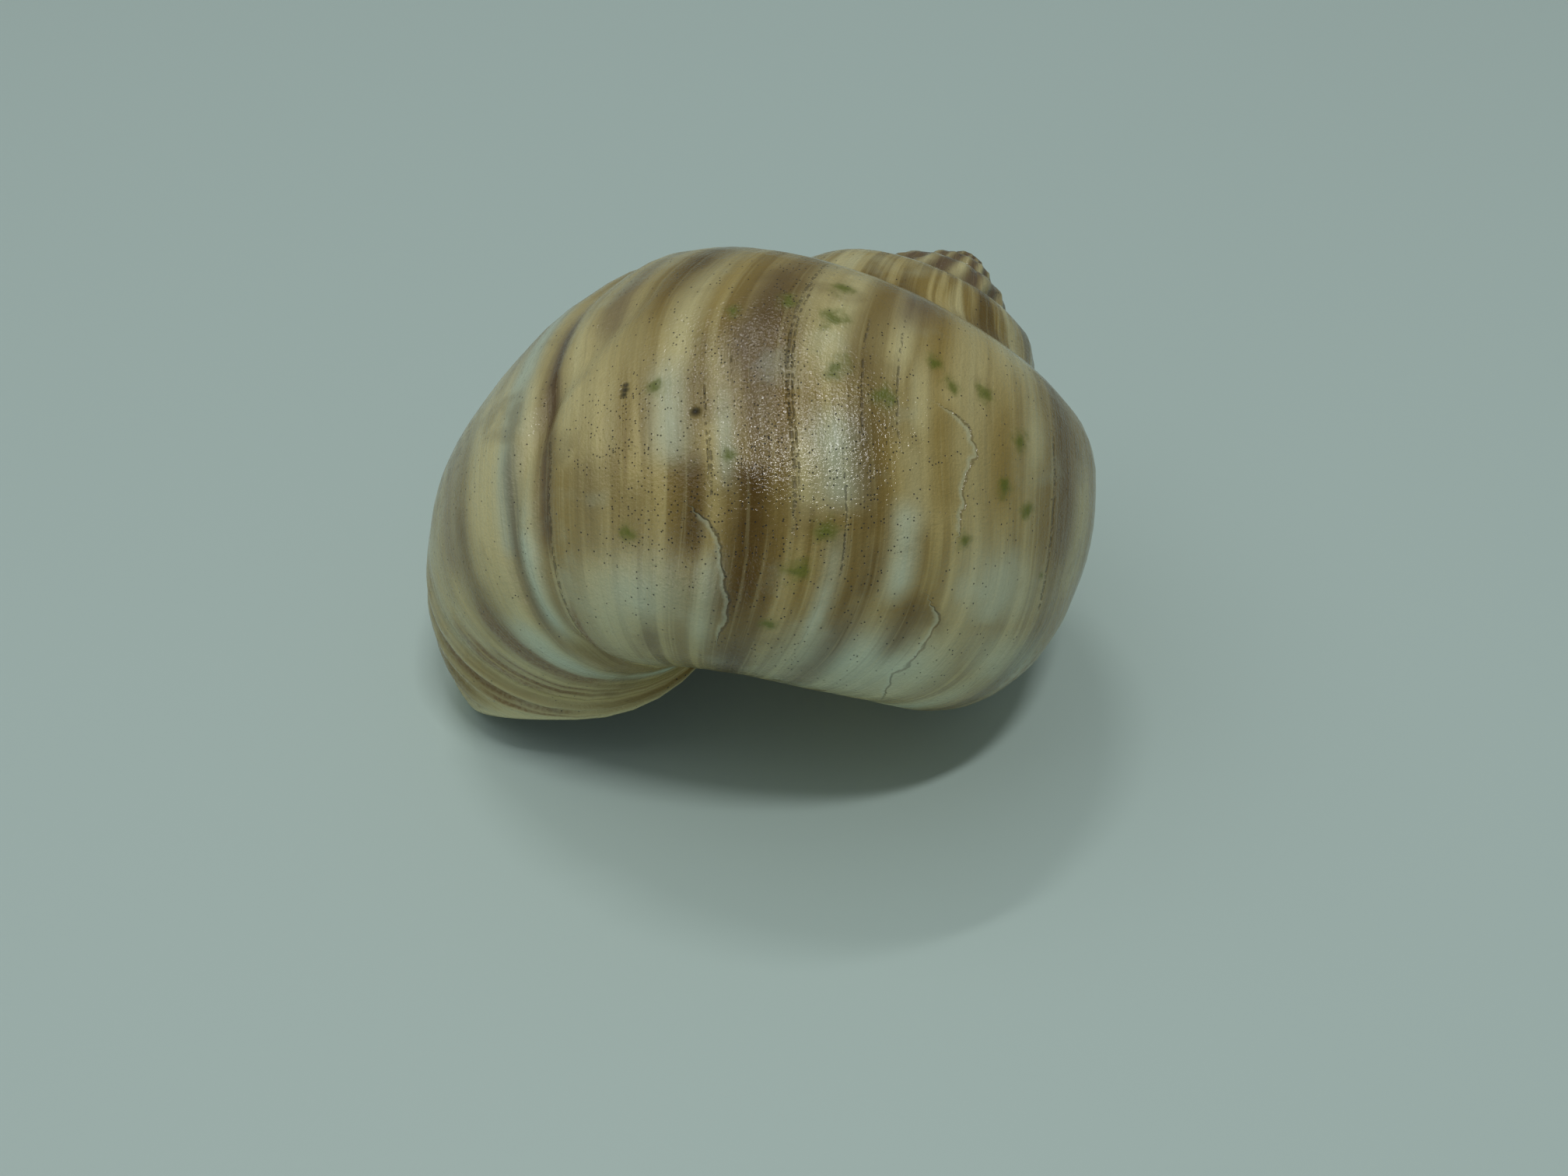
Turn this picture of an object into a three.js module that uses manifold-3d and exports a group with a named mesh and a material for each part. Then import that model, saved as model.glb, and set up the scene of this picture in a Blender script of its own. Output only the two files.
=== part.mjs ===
// Moon snail shell, in millimetres, +Z up, lying as it rests.
//
// A snail makes its shell by adding to the lip. Each turn has the same shape as the one before it
// and is larger by a fixed ratio, so the whole shell is one cross-section wound round an axis on a
// logarithmic spiral. The surface is built from that rule as one closed mesh: the visible outside,
// the rounded lip, and the hollow that winds up inside the body whorl.
import * as THREE from 'three';
import { mergeVertices } from 'three/addons/utils/BufferGeometryUtils.js';
import Module from 'manifold-3d';

// The coil, measured at the lip
const TURN_RATIO = 1.935; // size of a turn over the size of the turn before it
const TUBE_RADIUS = 11.2; // mean radius of the cross-section
const AXIS_TO_TUBE = 12.0; // from the coiling axis out to the middle of the cross-section
const APEX_TO_TUBE = 26.54; // from the apex down to the middle of the cross-section

// The cross-section's departure from a circle, as waves round it in millimetres
const SECTION_WAVES = [
  { count: 2, cosine: -1.74, sine: 0.56 },
  { count: 3, cosine: -0.27, sine: -0.33 },
];

// How far the lip runs ahead of a plane through the axis, as sine waves from suture to umbilicus
const LIP_LEAD = [-0.538, 0.113, 0.005, 0.024];

// The last growth carried the outer lip further, down to the ground, all in radians
const LOBE_LEAD = 0.4;
const LOBE_END = -2.0; // place round the cross-section where the extra growth ends, towards the umbilicus
const LOBE_RISE = 0.9;
const LOBE_FALL = 1.3; // from the full lead back to none at the suture
const LOBE_GROWTH = 0.9; // growth over which the lobe came out

// Shell laid into the suture, so that one turn runs smoothly into the next; reaches are in radians
const SUTURE_FILL = 2.6;
const FILL_REACH = 0.86; // down the newer turn
const OLD_FILL_REACH = 0.8; // up the older turn, and down it inside the mouth
const FILL_FADE = 0.4; // ahead of the lip

// The body whorl swells at its shoulder more than the turns before it
const SHOULDER_SWELL = 0.5;
const SHOULDER_MIDDLE = -0.06; // place round the cross-section, in radians
const SHOULDER_REACH = 0.75;
const SHOULDER_FADE = 0.4; // at the suture
const SHOULDER_GROWTH = 1.9; // growth over which it comes out, from one turn behind the lip

// Walls
const LIP_THICKNESS = 1.0;
const CALLUS_THICKNESS = 0.45; // glaze that the snail lays on the turn before, inside the mouth
const LIP_ROUNDING_LIMIT = 0.05; // how far round the axis the rounded lip may bulge, in radians

// The mark where growth stopped for a season
const REST_MARK_ANGLE = -1.0;
const REST_MARK_WIDTH = 0.05;
const REST_MARK_DEPTH = 0.3;

// The wrinkles near the lip, on the side towards the base
const WRINKLE_HEIGHT = 0.22;
const WRINKLE_SPACING = 0.16; // radians between two wrinkles
const WRINKLE_REACH = 0.5; // how far back from the lip the wrinkles go, in radians
const WRINKLE_TOP = -0.5; // place round the cross-section where they start, in radians
const WRINKLE_FADE = 0.8;

// The worn bumps of the oldest turns, and the dome of the first one
const WEAR_DEPTH = 0.7; // measured on a turn of full size
const WEAR_TURNS_BACK = 1.4; // how many turns back from the lip the wear starts
const WEAR_FADE = 2.0;
const WEAR_BUMPS = 13; // round one turn
const WEAR_LEAN = 3; // how far the bumps slant across the turn
const APEX_RISE = 0.45; // share of the way from the first turn's rim to the point of the spiral

const RELIEF_FADE = 0.5; // width of the fade beside each seam, in radians round the cross-section

// How the shell lies: turns about X, then Y, then Z, in degrees, from its axis upright
const REST_TURNS = [60.91, 15.85, 137.51];
const WORN_DEPTH = 0.15; // worn off where the shell touches the ground

// Fineness of the mesh
const LIP_ROWS = 20;
const LIP_ROWS_ANGLE = 1.25;
const BODY_ROWS = 34;
const SUTURE_COLUMNS = 5;
const FLANK_COLUMNS = 17;
const BASE_COLUMNS = 6;
const SPIRE_TURNS = 2.8;
const HOLLOW_TURNS = 1.9;
const HOLLOW_ROWS = 30;
const LIP_ROUND_ROWS = 3;

// Searches that halve a range, and the block of ground that wears the flat
const HALVINGS = 40;
const GROUND_SIZE = 200;
const GROUND_DEPTH = 20;

const FULL_TURN = 2 * Math.PI;
const ROWS_PER_TURN = LIP_ROWS + BODY_ROWS;
const LIP_LEAD_FULL = 0.5 * FULL_TURN;

// Cross-section: a point at an angle round the middle of the tube, as distance from the axis and height
function tubeRadius(around) {
  let radius = TUBE_RADIUS;
  for (const wave of SECTION_WAVES) {
    radius += wave.cosine * Math.cos(wave.count * around);
    radius += wave.sine * Math.sin(wave.count * around);
  }
  return radius;
}

function sectionPoint(around, relief = 0) {
  const radius = tubeRadius(around) + relief;
  return new THREE.Vector2(
    AXIS_TO_TUBE + radius * Math.cos(around),
    radius * Math.sin(around) - APEX_TO_TUBE,
  );
}

function angleRound(point) {
  return Math.atan2(point.y + APEX_TO_TUBE, point.x - AXIS_TO_TUBE);
}

function isInSection(point) {
  const away = Math.hypot(point.x - AXIS_TO_TUBE, point.y + APEX_TO_TUBE);
  return away < tubeRadius(angleRound(point));
}

// Where a turn's section comes out from under the next, larger one, between a buried and a free place
function seamBetween(buried, free) {
  let low = buried;
  let high = free;
  for (let step = 0; step < HALVINGS; step += 1) {
    const middle = (low + high) / 2;
    const inNextTurn = isInSection(sectionPoint(middle).divideScalar(TURN_RATIO));
    if (inNextTurn) low = middle;
    else high = middle;
  }
  return high;
}

// Places round the section that the next turn always buries, and that it always leaves free
const MIDDLE_OF_FLANK = -0.8;
const TOP_OF_TURN = 2.0;
const SIDE_OF_UMBILICUS = -3.6;
const UPPER_SEAM_OLD = seamBetween(MIDDLE_OF_FLANK, TOP_OF_TURN);
const LOWER_SEAM_OLD = seamBetween(MIDDLE_OF_FLANK, SIDE_OF_UMBILICUS);
const UPPER_SEAM = angleRound(sectionPoint(UPPER_SEAM_OLD).divideScalar(TURN_RATIO));
const LOWER_SEAM = angleRound(sectionPoint(LOWER_SEAM_OLD).divideScalar(TURN_RATIO)) - FULL_TURN;

function smooth(value) {
  const inside = Math.min(Math.max(value, 0), 1);
  return inside * inside * (3 - 2 * inside);
}

// How far the lip leads at a place round the section: nothing at the two seams
function lipLead(around) {
  const along = (UPPER_SEAM - around) / (UPPER_SEAM - LOWER_SEAM);
  let lead = 0;
  LIP_LEAD.forEach((height, index) => {
    lead += height * Math.sin((index + 1) * Math.PI * along);
  });
  return lead;
}

function lobeLead(around) {
  return LOBE_LEAD * smooth((around - LOBE_END) / LOBE_RISE) * smooth((UPPER_SEAM - around) / LOBE_FALL);
}

// How far the suture's filling moves the surface away from the axis and up
function sutureFill(turn, around) {
  const onNewer = smooth(1 - (UPPER_SEAM - around) / FILL_REACH);
  const covered = smooth(1 - (turn + FULL_TURN) / FILL_FADE);
  const onOlder = covered * smooth(1 - Math.abs(around - UPPER_SEAM_OLD) / OLD_FILL_REACH);
  return Math.SQRT1_2 * SUTURE_FILL * (onNewer + TURN_RATIO * onOlder);
}

function shoulderSwell(turn, around) {
  const across = smooth(1 - Math.abs(around - SHOULDER_MIDDLE) / SHOULDER_REACH);
  const atSuture = smooth((UPPER_SEAM - around) / SHOULDER_FADE);
  return SHOULDER_SWELL * across * atSuture * smooth((turn + FULL_TURN) / SHOULDER_GROWTH);
}

function filledSection(turn, around, relief = 0) {
  const swelled = sectionPoint(around, relief + shoulderSwell(turn, around));
  return swelled.addScalar(sutureFill(turn, around));
}

// The rows of the mesh follow the growth lines near the lip and the axis on older turns
function rowLead(turn, around) {
  const lobe = lobeLead(around) * smooth(1 + turn / LOBE_GROWTH);
  return lobe + lipLead(around) * smooth((turn + FULL_TURN) / LIP_LEAD_FULL);
}

function wind(angle, section) {
  const size = TURN_RATIO ** (angle / FULL_TURN);
  return new THREE.Vector3(
    size * section.x * Math.cos(angle),
    -size * section.x * Math.sin(angle),
    size * section.y,
  );
}

// Low relief that follows the growth lines and fades out at the seams
function growthRelief(growth, around) {
  const fade = smooth((UPPER_SEAM - around) / RELIEF_FADE) * smooth((around - LOWER_SEAM) / RELIEF_FADE);
  const fromMark = (growth - REST_MARK_ANGLE) / REST_MARK_WIDTH;
  const mark = -REST_MARK_DEPTH * Math.exp(-fromMark * fromMark);
  const towardBase = smooth((WRINKLE_TOP - around) / WRINKLE_FADE);
  const nearLip = smooth(1 + growth / WRINKLE_REACH);
  const wrinkle = WRINKLE_HEIGHT * Math.cos((growth / WRINKLE_SPACING) * FULL_TURN);
  const onSpire = smooth(-(growth + WEAR_TURNS_BACK * FULL_TURN) / WEAR_FADE);
  const worn = (Math.cos(WEAR_BUMPS * growth + WEAR_LEAN * around) - 1) / 2;
  return fade * (mark + wrinkle * towardBase * nearLip + WEAR_DEPTH * worn * onSpire);
}

function outsidePoint(turn, around) {
  const angle = turn + rowLead(turn, around);
  const growth = angle - lipLead(around);
  return wind(angle, filledSection(turn, around, growthRelief(growth, around)));
}

// Places of the mesh's rows, 0 at the lip and falling, and of its columns, from suture to umbilicus
function rowTurn(row) {
  const wholeTurns = Math.floor(-row / ROWS_PER_TURN);
  const rest = -row - wholeTurns * ROWS_PER_TURN;
  const fine = Math.min(rest, LIP_ROWS) * (LIP_ROWS_ANGLE / LIP_ROWS);
  const coarse = Math.max(rest - LIP_ROWS, 0) * ((FULL_TURN - LIP_ROWS_ANGLE) / BODY_ROWS);
  return -(wholeTurns * FULL_TURN + fine + coarse);
}

const FLANK_START = SUTURE_COLUMNS;
const FLANK_END = SUTURE_COLUMNS + FLANK_COLUMNS;
const LAST_COLUMN = FLANK_END + BASE_COLUMNS;
const LAST_ROW = -Math.round((1 + SPIRE_TURNS) * ROWS_PER_TURN);

function columnAround(column) {
  const mix = THREE.MathUtils.lerp;
  if (column <= FLANK_START) return mix(UPPER_SEAM, UPPER_SEAM_OLD, column / SUTURE_COLUMNS);
  const onFlank = (column - FLANK_START) / FLANK_COLUMNS;
  if (column <= FLANK_END) return mix(UPPER_SEAM_OLD, LOWER_SEAM_OLD, onFlank);
  return mix(LOWER_SEAM_OLD, LOWER_SEAM, (column - FLANK_END) / BASE_COLUMNS);
}

// A mesh whose vertices have keys, so that faces that meet at a seam share them
class KeyedMesh {
  constructor() {
    this.points = [];
    this.triangles = [];
    this.indexOfKey = new Map();
  }

  vertex(key, makePoint) {
    if (!this.indexOfKey.has(key)) {
      this.indexOfKey.set(key, this.points.length);
      this.points.push(makePoint());
    }
    return this.indexOfKey.get(key);
  }

  quad(a, b, c, d) {
    this.triangles.push(a, b, c, a, c, d);
  }

  fan(loop, centre) {
    const middle = this.points.length;
    this.points.push(centre);
    loop.forEach((index, place) => {
      this.triangles.push(index, middle, loop[(place + 1) % loop.length]);
    });
  }

  middleOf(loop) {
    const sum = new THREE.Vector3();
    loop.forEach((index) => sum.add(this.points[index]));
    return sum.divideScalar(loop.length);
  }

  geometry() {
    const geometry = new THREE.BufferGeometry();
    const numbers = this.points.flatMap((point) => [point.x, point.y, point.z]);
    geometry.setAttribute('position', new THREE.Float32BufferAttribute(numbers, 3));
    geometry.setIndex(this.triangles);
    return geometry;
  }
}

// Older turns run into the next turn at two seams, where they share its edge vertices
function outsideVertex(mesh, row, column) {
  let sharedRow = row;
  let sharedColumn = column;
  if (row <= -ROWS_PER_TURN && column === FLANK_START) {
    sharedRow = row + ROWS_PER_TURN;
    sharedColumn = 0;
  } else if (row <= -ROWS_PER_TURN && column === FLANK_END) {
    sharedRow = row + ROWS_PER_TURN;
    sharedColumn = LAST_COLUMN;
  }
  const makePoint = () => outsidePoint(rowTurn(sharedRow), columnAround(sharedColumn));
  return mesh.vertex(`${sharedRow}/${sharedColumn}`, makePoint);
}

function addStrip(mesh, firstRow, lastRow, firstColumn, lastColumn) {
  for (let row = firstRow; row < lastRow; row += 1) {
    for (let column = firstColumn; column < lastColumn; column += 1) {
      mesh.quad(
        outsideVertex(mesh, row, column),
        outsideVertex(mesh, row + 1, column),
        outsideVertex(mesh, row + 1, column + 1),
        outsideVertex(mesh, row, column + 1),
      );
    }
  }
}

function addOutside(mesh) {
  addStrip(mesh, -ROWS_PER_TURN, 0, 0, LAST_COLUMN);
  addStrip(mesh, LAST_ROW, -ROWS_PER_TURN, 0, FLANK_START);
  addStrip(mesh, LAST_ROW, -ROWS_PER_TURN, FLANK_END, LAST_COLUMN);
}

// The first turn closes in a small dome at the apex, and in a point deep in the umbilicus
function closeFirstTurn(mesh) {
  const apexLoop = [];
  for (let column = FLANK_START; column > 0; column -= 1) {
    apexLoop.push(outsideVertex(mesh, LAST_ROW, column));
  }
  for (let row = LAST_ROW; row < LAST_ROW + ROWS_PER_TURN; row += 1) {
    apexLoop.push(outsideVertex(mesh, row, 0));
  }
  mesh.fan(apexLoop, mesh.middleOf(apexLoop).multiplyScalar(1 - APEX_RISE));

  const navelLoop = [];
  for (let row = LAST_ROW + ROWS_PER_TURN; row > LAST_ROW; row -= 1) {
    navelLoop.push(outsideVertex(mesh, row, LAST_COLUMN));
  }
  for (let column = LAST_COLUMN; column > FLANK_END; column -= 1) {
    navelLoop.push(outsideVertex(mesh, LAST_ROW, column));
  }
  mesh.fan(navelLoop, mesh.middleOf(navelLoop));
}

// The rim of the mouth: round the lip, then back along the turn before it
function mouthRim() {
  const rim = [];
  for (let column = 0; column <= LAST_COLUMN; column += 1) {
    const around = columnAround(column);
    const lead = rowLead(0, around);
    rim.push({ row: 0, column, lead, section: filledSection(0, around), thick: LIP_THICKNESS });
  }
  for (let column = FLANK_END - 1; column > FLANK_START; column -= 1) {
    const section = filledSection(-FULL_TURN, columnAround(column)).divideScalar(TURN_RATIO);
    rim.push({ row: -ROWS_PER_TURN, column, lead: 0, section, thick: CALLUS_THICKNESS });
  }
  return rim;
}

function distanceToSegment(point, start, end) {
  const along = end.clone().sub(start);
  const share = point.clone().sub(start).dot(along) / along.lengthSq();
  const nearest = start.clone().addScaledVector(along, Math.min(Math.max(share, 0), 1));
  return nearest.distanceTo(point);
}

// Whether a point of the section keeps the full wall between itself and the rim
function isClear(point, rim) {
  return rim.every((start, place) => {
    const end = rim[(place + 1) % rim.length];
    const wall = Math.max(start.thick, end.thick);
    return distanceToSegment(point, start.section, end.section) >= wall;
  });
}

function addHollowSections(rim) {
  const middle = new THREE.Vector2();
  rim.forEach((place) => middle.add(place.section));
  middle.divideScalar(rim.length);
  for (const place of rim) {
    let inside = 0;
    let outside = 1;
    for (let step = 0; step < HALVINGS; step += 1) {
      const share = (inside + outside) / 2;
      const point = middle.clone().lerp(place.section, share);
      if (isClear(point, rim)) inside = share;
      else outside = share;
    }
    place.hollow = middle.clone().lerp(place.section, inside);
  }
  return middle;
}

function addMouth(mesh) {
  const rim = mouthRim();
  const middle = addHollowSections(rim);
  const rings = [rim.map((place) => outsideVertex(mesh, place.row, place.column))];

  // The lip turns over from the outside to the hollow
  for (let step = 1; step < LIP_ROUND_ROWS; step += 1) {
    const sweep = (step / LIP_ROUND_ROWS) * Math.PI;
    rings.push(rim.map((place, index) => mesh.vertex(`lip ${step}/${index}`, () => {
      const thickness = place.section.distanceTo(place.hollow);
      const bulge = Math.min(thickness / 2 / place.section.x, LIP_ROUNDING_LIMIT);
      const section = place.section.clone().lerp(place.hollow, (1 - Math.cos(sweep)) / 2);
      return wind(place.lead + bulge * Math.sin(sweep), section);
    })));
  }

  for (let step = 0; step <= HOLLOW_ROWS; step += 1) {
    const turn = -(step / HOLLOW_ROWS) * HOLLOW_TURNS * FULL_TURN;
    rings.push(rim.map((place, index) => mesh.vertex(`hollow ${step}/${index}`, () => {
      const lead = place.lead * smooth(1 + turn / LIP_LEAD_FULL);
      return wind(turn + lead, place.hollow);
    })));
  }

  for (let ring = 0; ring < rings.length - 1; ring += 1) {
    for (let place = 0; place < rim.length; place += 1) {
      const next = (place + 1) % rim.length;
      mesh.quad(rings[ring][place], rings[ring + 1][place], rings[ring + 1][next], rings[ring][next]);
    }
  }
  mesh.fan(rings[rings.length - 1], wind(-HOLLOW_TURNS * FULL_TURN, middle));
}

// Lay the shell down, so that the ground cuts off what is worn where it touches
function layDown(geometry) {
  const [turnX, turnY, turnZ] = REST_TURNS.map(THREE.MathUtils.degToRad);
  const turns = new THREE.Euler(turnX, turnY, turnZ, 'ZYX');
  geometry.applyMatrix4(new THREE.Matrix4().makeRotationFromEuler(turns));
  geometry.computeBoundingBox();
  geometry.translate(0, 0, -geometry.boundingBox.min.z - WORN_DEPTH);
}

function toSolid(wasm, geometry) {
  const bare = geometry.index ? geometry.toNonIndexed() : geometry.clone();
  bare.deleteAttribute('normal');
  bare.deleteAttribute('uv');
  const merged = mergeVertices(bare);
  return new wasm.Manifold(new wasm.Mesh({
    numProp: 3,
    vertProperties: merged.attributes.position.array,
    triVerts: new Uint32Array(merged.index.array),
  }));
}

function toGeometry(solid) {
  const mesh = solid.getMesh();
  const geometry = new THREE.BufferGeometry();
  geometry.setAttribute('position', new THREE.BufferAttribute(mesh.vertProperties, 3));
  geometry.setIndex(new THREE.BufferAttribute(mesh.triVerts, 1));
  return geometry;
}

function wearFlat(wasm, geometry) {
  const ground = new THREE.BoxGeometry(GROUND_SIZE, GROUND_SIZE, GROUND_DEPTH);
  ground.translate(0, 0, -GROUND_DEPTH / 2);
  return toGeometry(toSolid(wasm, geometry).subtract(toSolid(wasm, ground)));
}

function centreOverOrigin(geometry) {
  geometry.computeBoundingBox();
  const middle = geometry.boundingBox.getCenter(new THREE.Vector3());
  geometry.translate(-middle.x, -middle.y, -geometry.boundingBox.min.z);
}

const wasm = await Module();
wasm.setup();

const mesh = new KeyedMesh();
addOutside(mesh);
closeFirstTurn(mesh);
addMouth(mesh);

const laid = mesh.geometry();
layDown(laid);
const worn = wearFlat(wasm, laid);
centreOverOrigin(worn);
worn.computeVertexNormals();

const shellMaterial = new THREE.MeshStandardMaterial({ color: '#c2ae86', roughness: 0.35, metalness: 0 });
const shell = new THREE.Mesh(worn, shellMaterial);
shell.name = 'shell';

const part = new THREE.Group();
part.add(shell);

export default part;
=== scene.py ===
# %% [markdown]
# # A moon snail shell
#
# The object is one empty seashell, lying on the edge of its lip and the underside of its body whorl. It is
# a single piece of porcelain-like aragonite, so there is one main piece to make, and all the work goes into
# its form and its surface. The solid model says where the shell is and how large it is, and this file
# dresses it.

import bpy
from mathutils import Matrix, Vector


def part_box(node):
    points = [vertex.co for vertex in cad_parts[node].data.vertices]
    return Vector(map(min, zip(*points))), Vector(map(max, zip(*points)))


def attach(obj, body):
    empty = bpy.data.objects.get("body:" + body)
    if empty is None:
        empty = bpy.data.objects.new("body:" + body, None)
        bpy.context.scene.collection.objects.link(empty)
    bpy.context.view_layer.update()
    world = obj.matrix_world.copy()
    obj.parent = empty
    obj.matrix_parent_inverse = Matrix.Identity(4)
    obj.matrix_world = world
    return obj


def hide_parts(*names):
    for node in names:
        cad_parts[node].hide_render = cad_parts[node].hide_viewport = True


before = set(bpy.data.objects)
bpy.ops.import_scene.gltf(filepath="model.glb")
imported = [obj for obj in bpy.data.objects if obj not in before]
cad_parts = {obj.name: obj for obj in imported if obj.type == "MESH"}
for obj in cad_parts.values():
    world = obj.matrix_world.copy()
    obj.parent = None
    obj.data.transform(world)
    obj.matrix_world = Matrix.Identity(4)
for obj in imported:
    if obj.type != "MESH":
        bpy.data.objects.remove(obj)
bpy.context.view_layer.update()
solid_low, solid_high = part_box("shell")
print("the solid shell spans", [round(1000 * (b - a), 2) for a, b in zip(solid_low, solid_high)], "mm")

# %% [markdown]
# ## Sizes
#
# A snail adds new shell at the lip, and each turn repeats the one before it at a larger size. So a few
# numbers give the whole form: how much a turn grows, the size of the cross-section, and where it stands off
# the axis. They are the sizes that the solid model was made from. Lengths in this file are in metres and
# angles in radians.

# %% Driving sizes
import math

import bpy
import numpy as np
from mathutils import Vector, noise
from mathutils.bvhtree import BVHTree
from mathutils.interpolate import poly_3d_calc

MM = 0.001
FULL_TURN = 2 * math.pi

TURN_RATIO = 1.935
TUBE_RADIUS = 11.2 * MM
AXIS_TO_TUBE = 12.0 * MM
APEX_TO_TUBE = 26.54 * MM
SECTION_WAVES = ((2, -1.74 * MM, 0.56 * MM), (3, -0.27 * MM, -0.33 * MM))
LIP_LEAD = (-0.538, 0.113, 0.005, 0.024)
LIP_LEAD_FULL = 0.5 * FULL_TURN
LOBE_LEAD = 0.4
LOBE_END = -2.0
LOBE_RISE = 0.9
LOBE_FALL = 1.3
LOBE_GROWTH = 0.9
SUTURE_FILL = 2.6 * MM
FILL_REACH = 0.86
OLD_FILL_REACH = 0.8
FILL_FADE = 0.4
SHOULDER_SWELL = 0.5 * MM
SHOULDER_MIDDLE = -0.06
SHOULDER_REACH = 0.75
SHOULDER_FADE = 0.4
SHOULDER_GROWTH = 1.9
LIP_THICKNESS = 1.0 * MM
CALLUS_THICKNESS = 0.45 * MM
LIP_ROUNDING_LIMIT = 0.05
APEX_RISE = 0.45
REST_TURNS = [math.radians(angle) for angle in (60.91, 15.85, 137.51)]
WORN_DEPTH = 0.15 * MM
print("each turn is", TURN_RATIO, "times the size of the one before it")

# %% [markdown]
# ## The cross-section
#
# Cut a turn through the axis and the cut is a slightly flattened circle. Each turn is buried in the next
# one from the suture, where you see the join outside, to a second join inside the umbilicus, the hole in
# the base. Because every turn repeats the last, both joins are at the same places round the section on
# every turn, so they are found once, by halving a range until it closes on the point where the two sections
# cross.

# %% Section and seams
HALVINGS = 60
MIDDLE_OF_FLANK = -0.8
TOP_OF_TURN = 2.0
SIDE_OF_UMBILICUS = -3.6


def tube_radius(around):
    radius = np.full_like(around, TUBE_RADIUS, dtype=float)
    for count, cosine, sine in SECTION_WAVES:
        radius = radius + cosine * np.cos(count * around) + sine * np.sin(count * around)
    return radius


def section_point(around, swell=0.0):
    """Distance from the axis, and height, of a place round the section."""
    radius = tube_radius(around) + swell
    return np.array([AXIS_TO_TUBE + radius * np.cos(around), radius * np.sin(around) - APEX_TO_TUBE])


def angle_round(out, up):
    return math.atan2(up + APEX_TO_TUBE, out - AXIS_TO_TUBE)


def seam_between(buried, free):
    for _ in range(HALVINGS):
        middle = (buried + free) / 2
        out, up = section_point(middle) / TURN_RATIO
        away = math.hypot(out - AXIS_TO_TUBE, up + APEX_TO_TUBE)
        if away < tube_radius(angle_round(out, up)):
            buried = middle
        else:
            free = middle
    return free


UPPER_SEAM_OLD = seam_between(MIDDLE_OF_FLANK, TOP_OF_TURN)
LOWER_SEAM_OLD = seam_between(MIDDLE_OF_FLANK, SIDE_OF_UMBILICUS)
UPPER_SEAM = angle_round(*(section_point(UPPER_SEAM_OLD) / TURN_RATIO))
LOWER_SEAM = angle_round(*(section_point(LOWER_SEAM_OLD) / TURN_RATIO)) - FULL_TURN
print("the shell shows from", round(UPPER_SEAM, 2), "to", round(LOWER_SEAM, 2), "radians round the section")


def smooth(value):
    inside = np.minimum(np.maximum(value, 0), 1)
    return inside * inside * (3 - 2 * inside)


def lip_lead(around):
    """How far the lip, and so each growth line, runs ahead of a plane through the axis."""
    along = (UPPER_SEAM - around) / (UPPER_SEAM - LOWER_SEAM)
    return sum(height * np.sin((index + 1) * np.pi * along) for index, height in enumerate(LIP_LEAD))


def lobe_lead(around):
    """How much further the last growth carried the outer lip, down to the ground."""
    return LOBE_LEAD * smooth((around - LOBE_END) / LOBE_RISE) * smooth((UPPER_SEAM - around) / LOBE_FALL)


def filled_section(turn, around):
    """The section with the body whorl's swollen shoulder, and the shell laid into the suture."""
    across = smooth(1 - np.abs(around - SHOULDER_MIDDLE) / SHOULDER_REACH)
    swell = SHOULDER_SWELL * across * smooth((UPPER_SEAM - around) / SHOULDER_FADE)
    swell = swell * smooth((turn + FULL_TURN) / SHOULDER_GROWTH)
    on_newer = smooth(1 - (UPPER_SEAM - around) / FILL_REACH)
    covered = smooth(1 - (turn + FULL_TURN) / FILL_FADE)
    on_older = covered * smooth(1 - np.abs(around - UPPER_SEAM_OLD) / OLD_FILL_REACH)
    return section_point(around, swell) + math.sqrt(0.5) * SUTURE_FILL * (on_newer + TURN_RATIO * on_older)


# %% [markdown]
# ## The flat pattern
#
# The surface is first laid out as a pattern: rows run along the growth lines, columns along the coil, and
# each vertex only carries numbers that say where it belongs once it is wound up. Where a turn joins the
# next, both use the same vertices, so the finished mesh is closed with no cuts, booleans or merged doubles.

# %% Rows and columns
ROWS_PER_TURN = 380
SUTURE_COLUMNS = 14
FLANK_COLUMNS = 80
BASE_COLUMNS = 14
SPIRE_TURNS = 3.7
HOLLOW_TURNS = 1.3
HOLLOW_ROWS = 70
LIP_ROUND_ROWS = 8

FLANK_START = SUTURE_COLUMNS
FLANK_END = SUTURE_COLUMNS + FLANK_COLUMNS
LAST_COLUMN = FLANK_END + BASE_COLUMNS
LAST_ROW = -round((1 + SPIRE_TURNS) * ROWS_PER_TURN)

column_around = np.concatenate([
    np.linspace(UPPER_SEAM, UPPER_SEAM_OLD, SUTURE_COLUMNS + 1)[:-1],
    np.linspace(UPPER_SEAM_OLD, LOWER_SEAM_OLD, FLANK_COLUMNS + 1)[:-1],
    np.linspace(LOWER_SEAM_OLD, LOWER_SEAM, BASE_COLUMNS + 1),
])
column_lead = lip_lead(column_around)
column_lobe = lobe_lead(column_around)
lip_section = filled_section(0.0, column_around).T
older_section = filled_section(-FULL_TURN, column_around).T


class Pattern:
    """Vertices that carry numbers instead of places, and faces whose corners carry a place on the coil."""

    def __init__(self):
        self.vertices = []
        self.faces = []
        self.corners = []
        self.found = {}

    def vertex(self, key, numbers):
        if key not in self.found:
            self.found[key] = len(self.vertices)
            self.vertices.append(numbers)
        return self.found[key]

    def face(self, *corners):
        self.faces.append([corner[0] for corner in corners])
        self.corners.extend(corner[1:] for corner in corners)

    def strip(self, first, second):
        for place in range(len(first) - 1):
            self.face(first[place], second[place], second[place + 1], first[place + 1])

    def fan(self, loop, numbers):
        middle = (self.vertex("middle of loop %d" % len(self.vertices), numbers), numbers[3], numbers[4])
        for place, corner in enumerate(loop):
            self.face(corner, middle, loop[(place + 1) % len(loop)])


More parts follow.
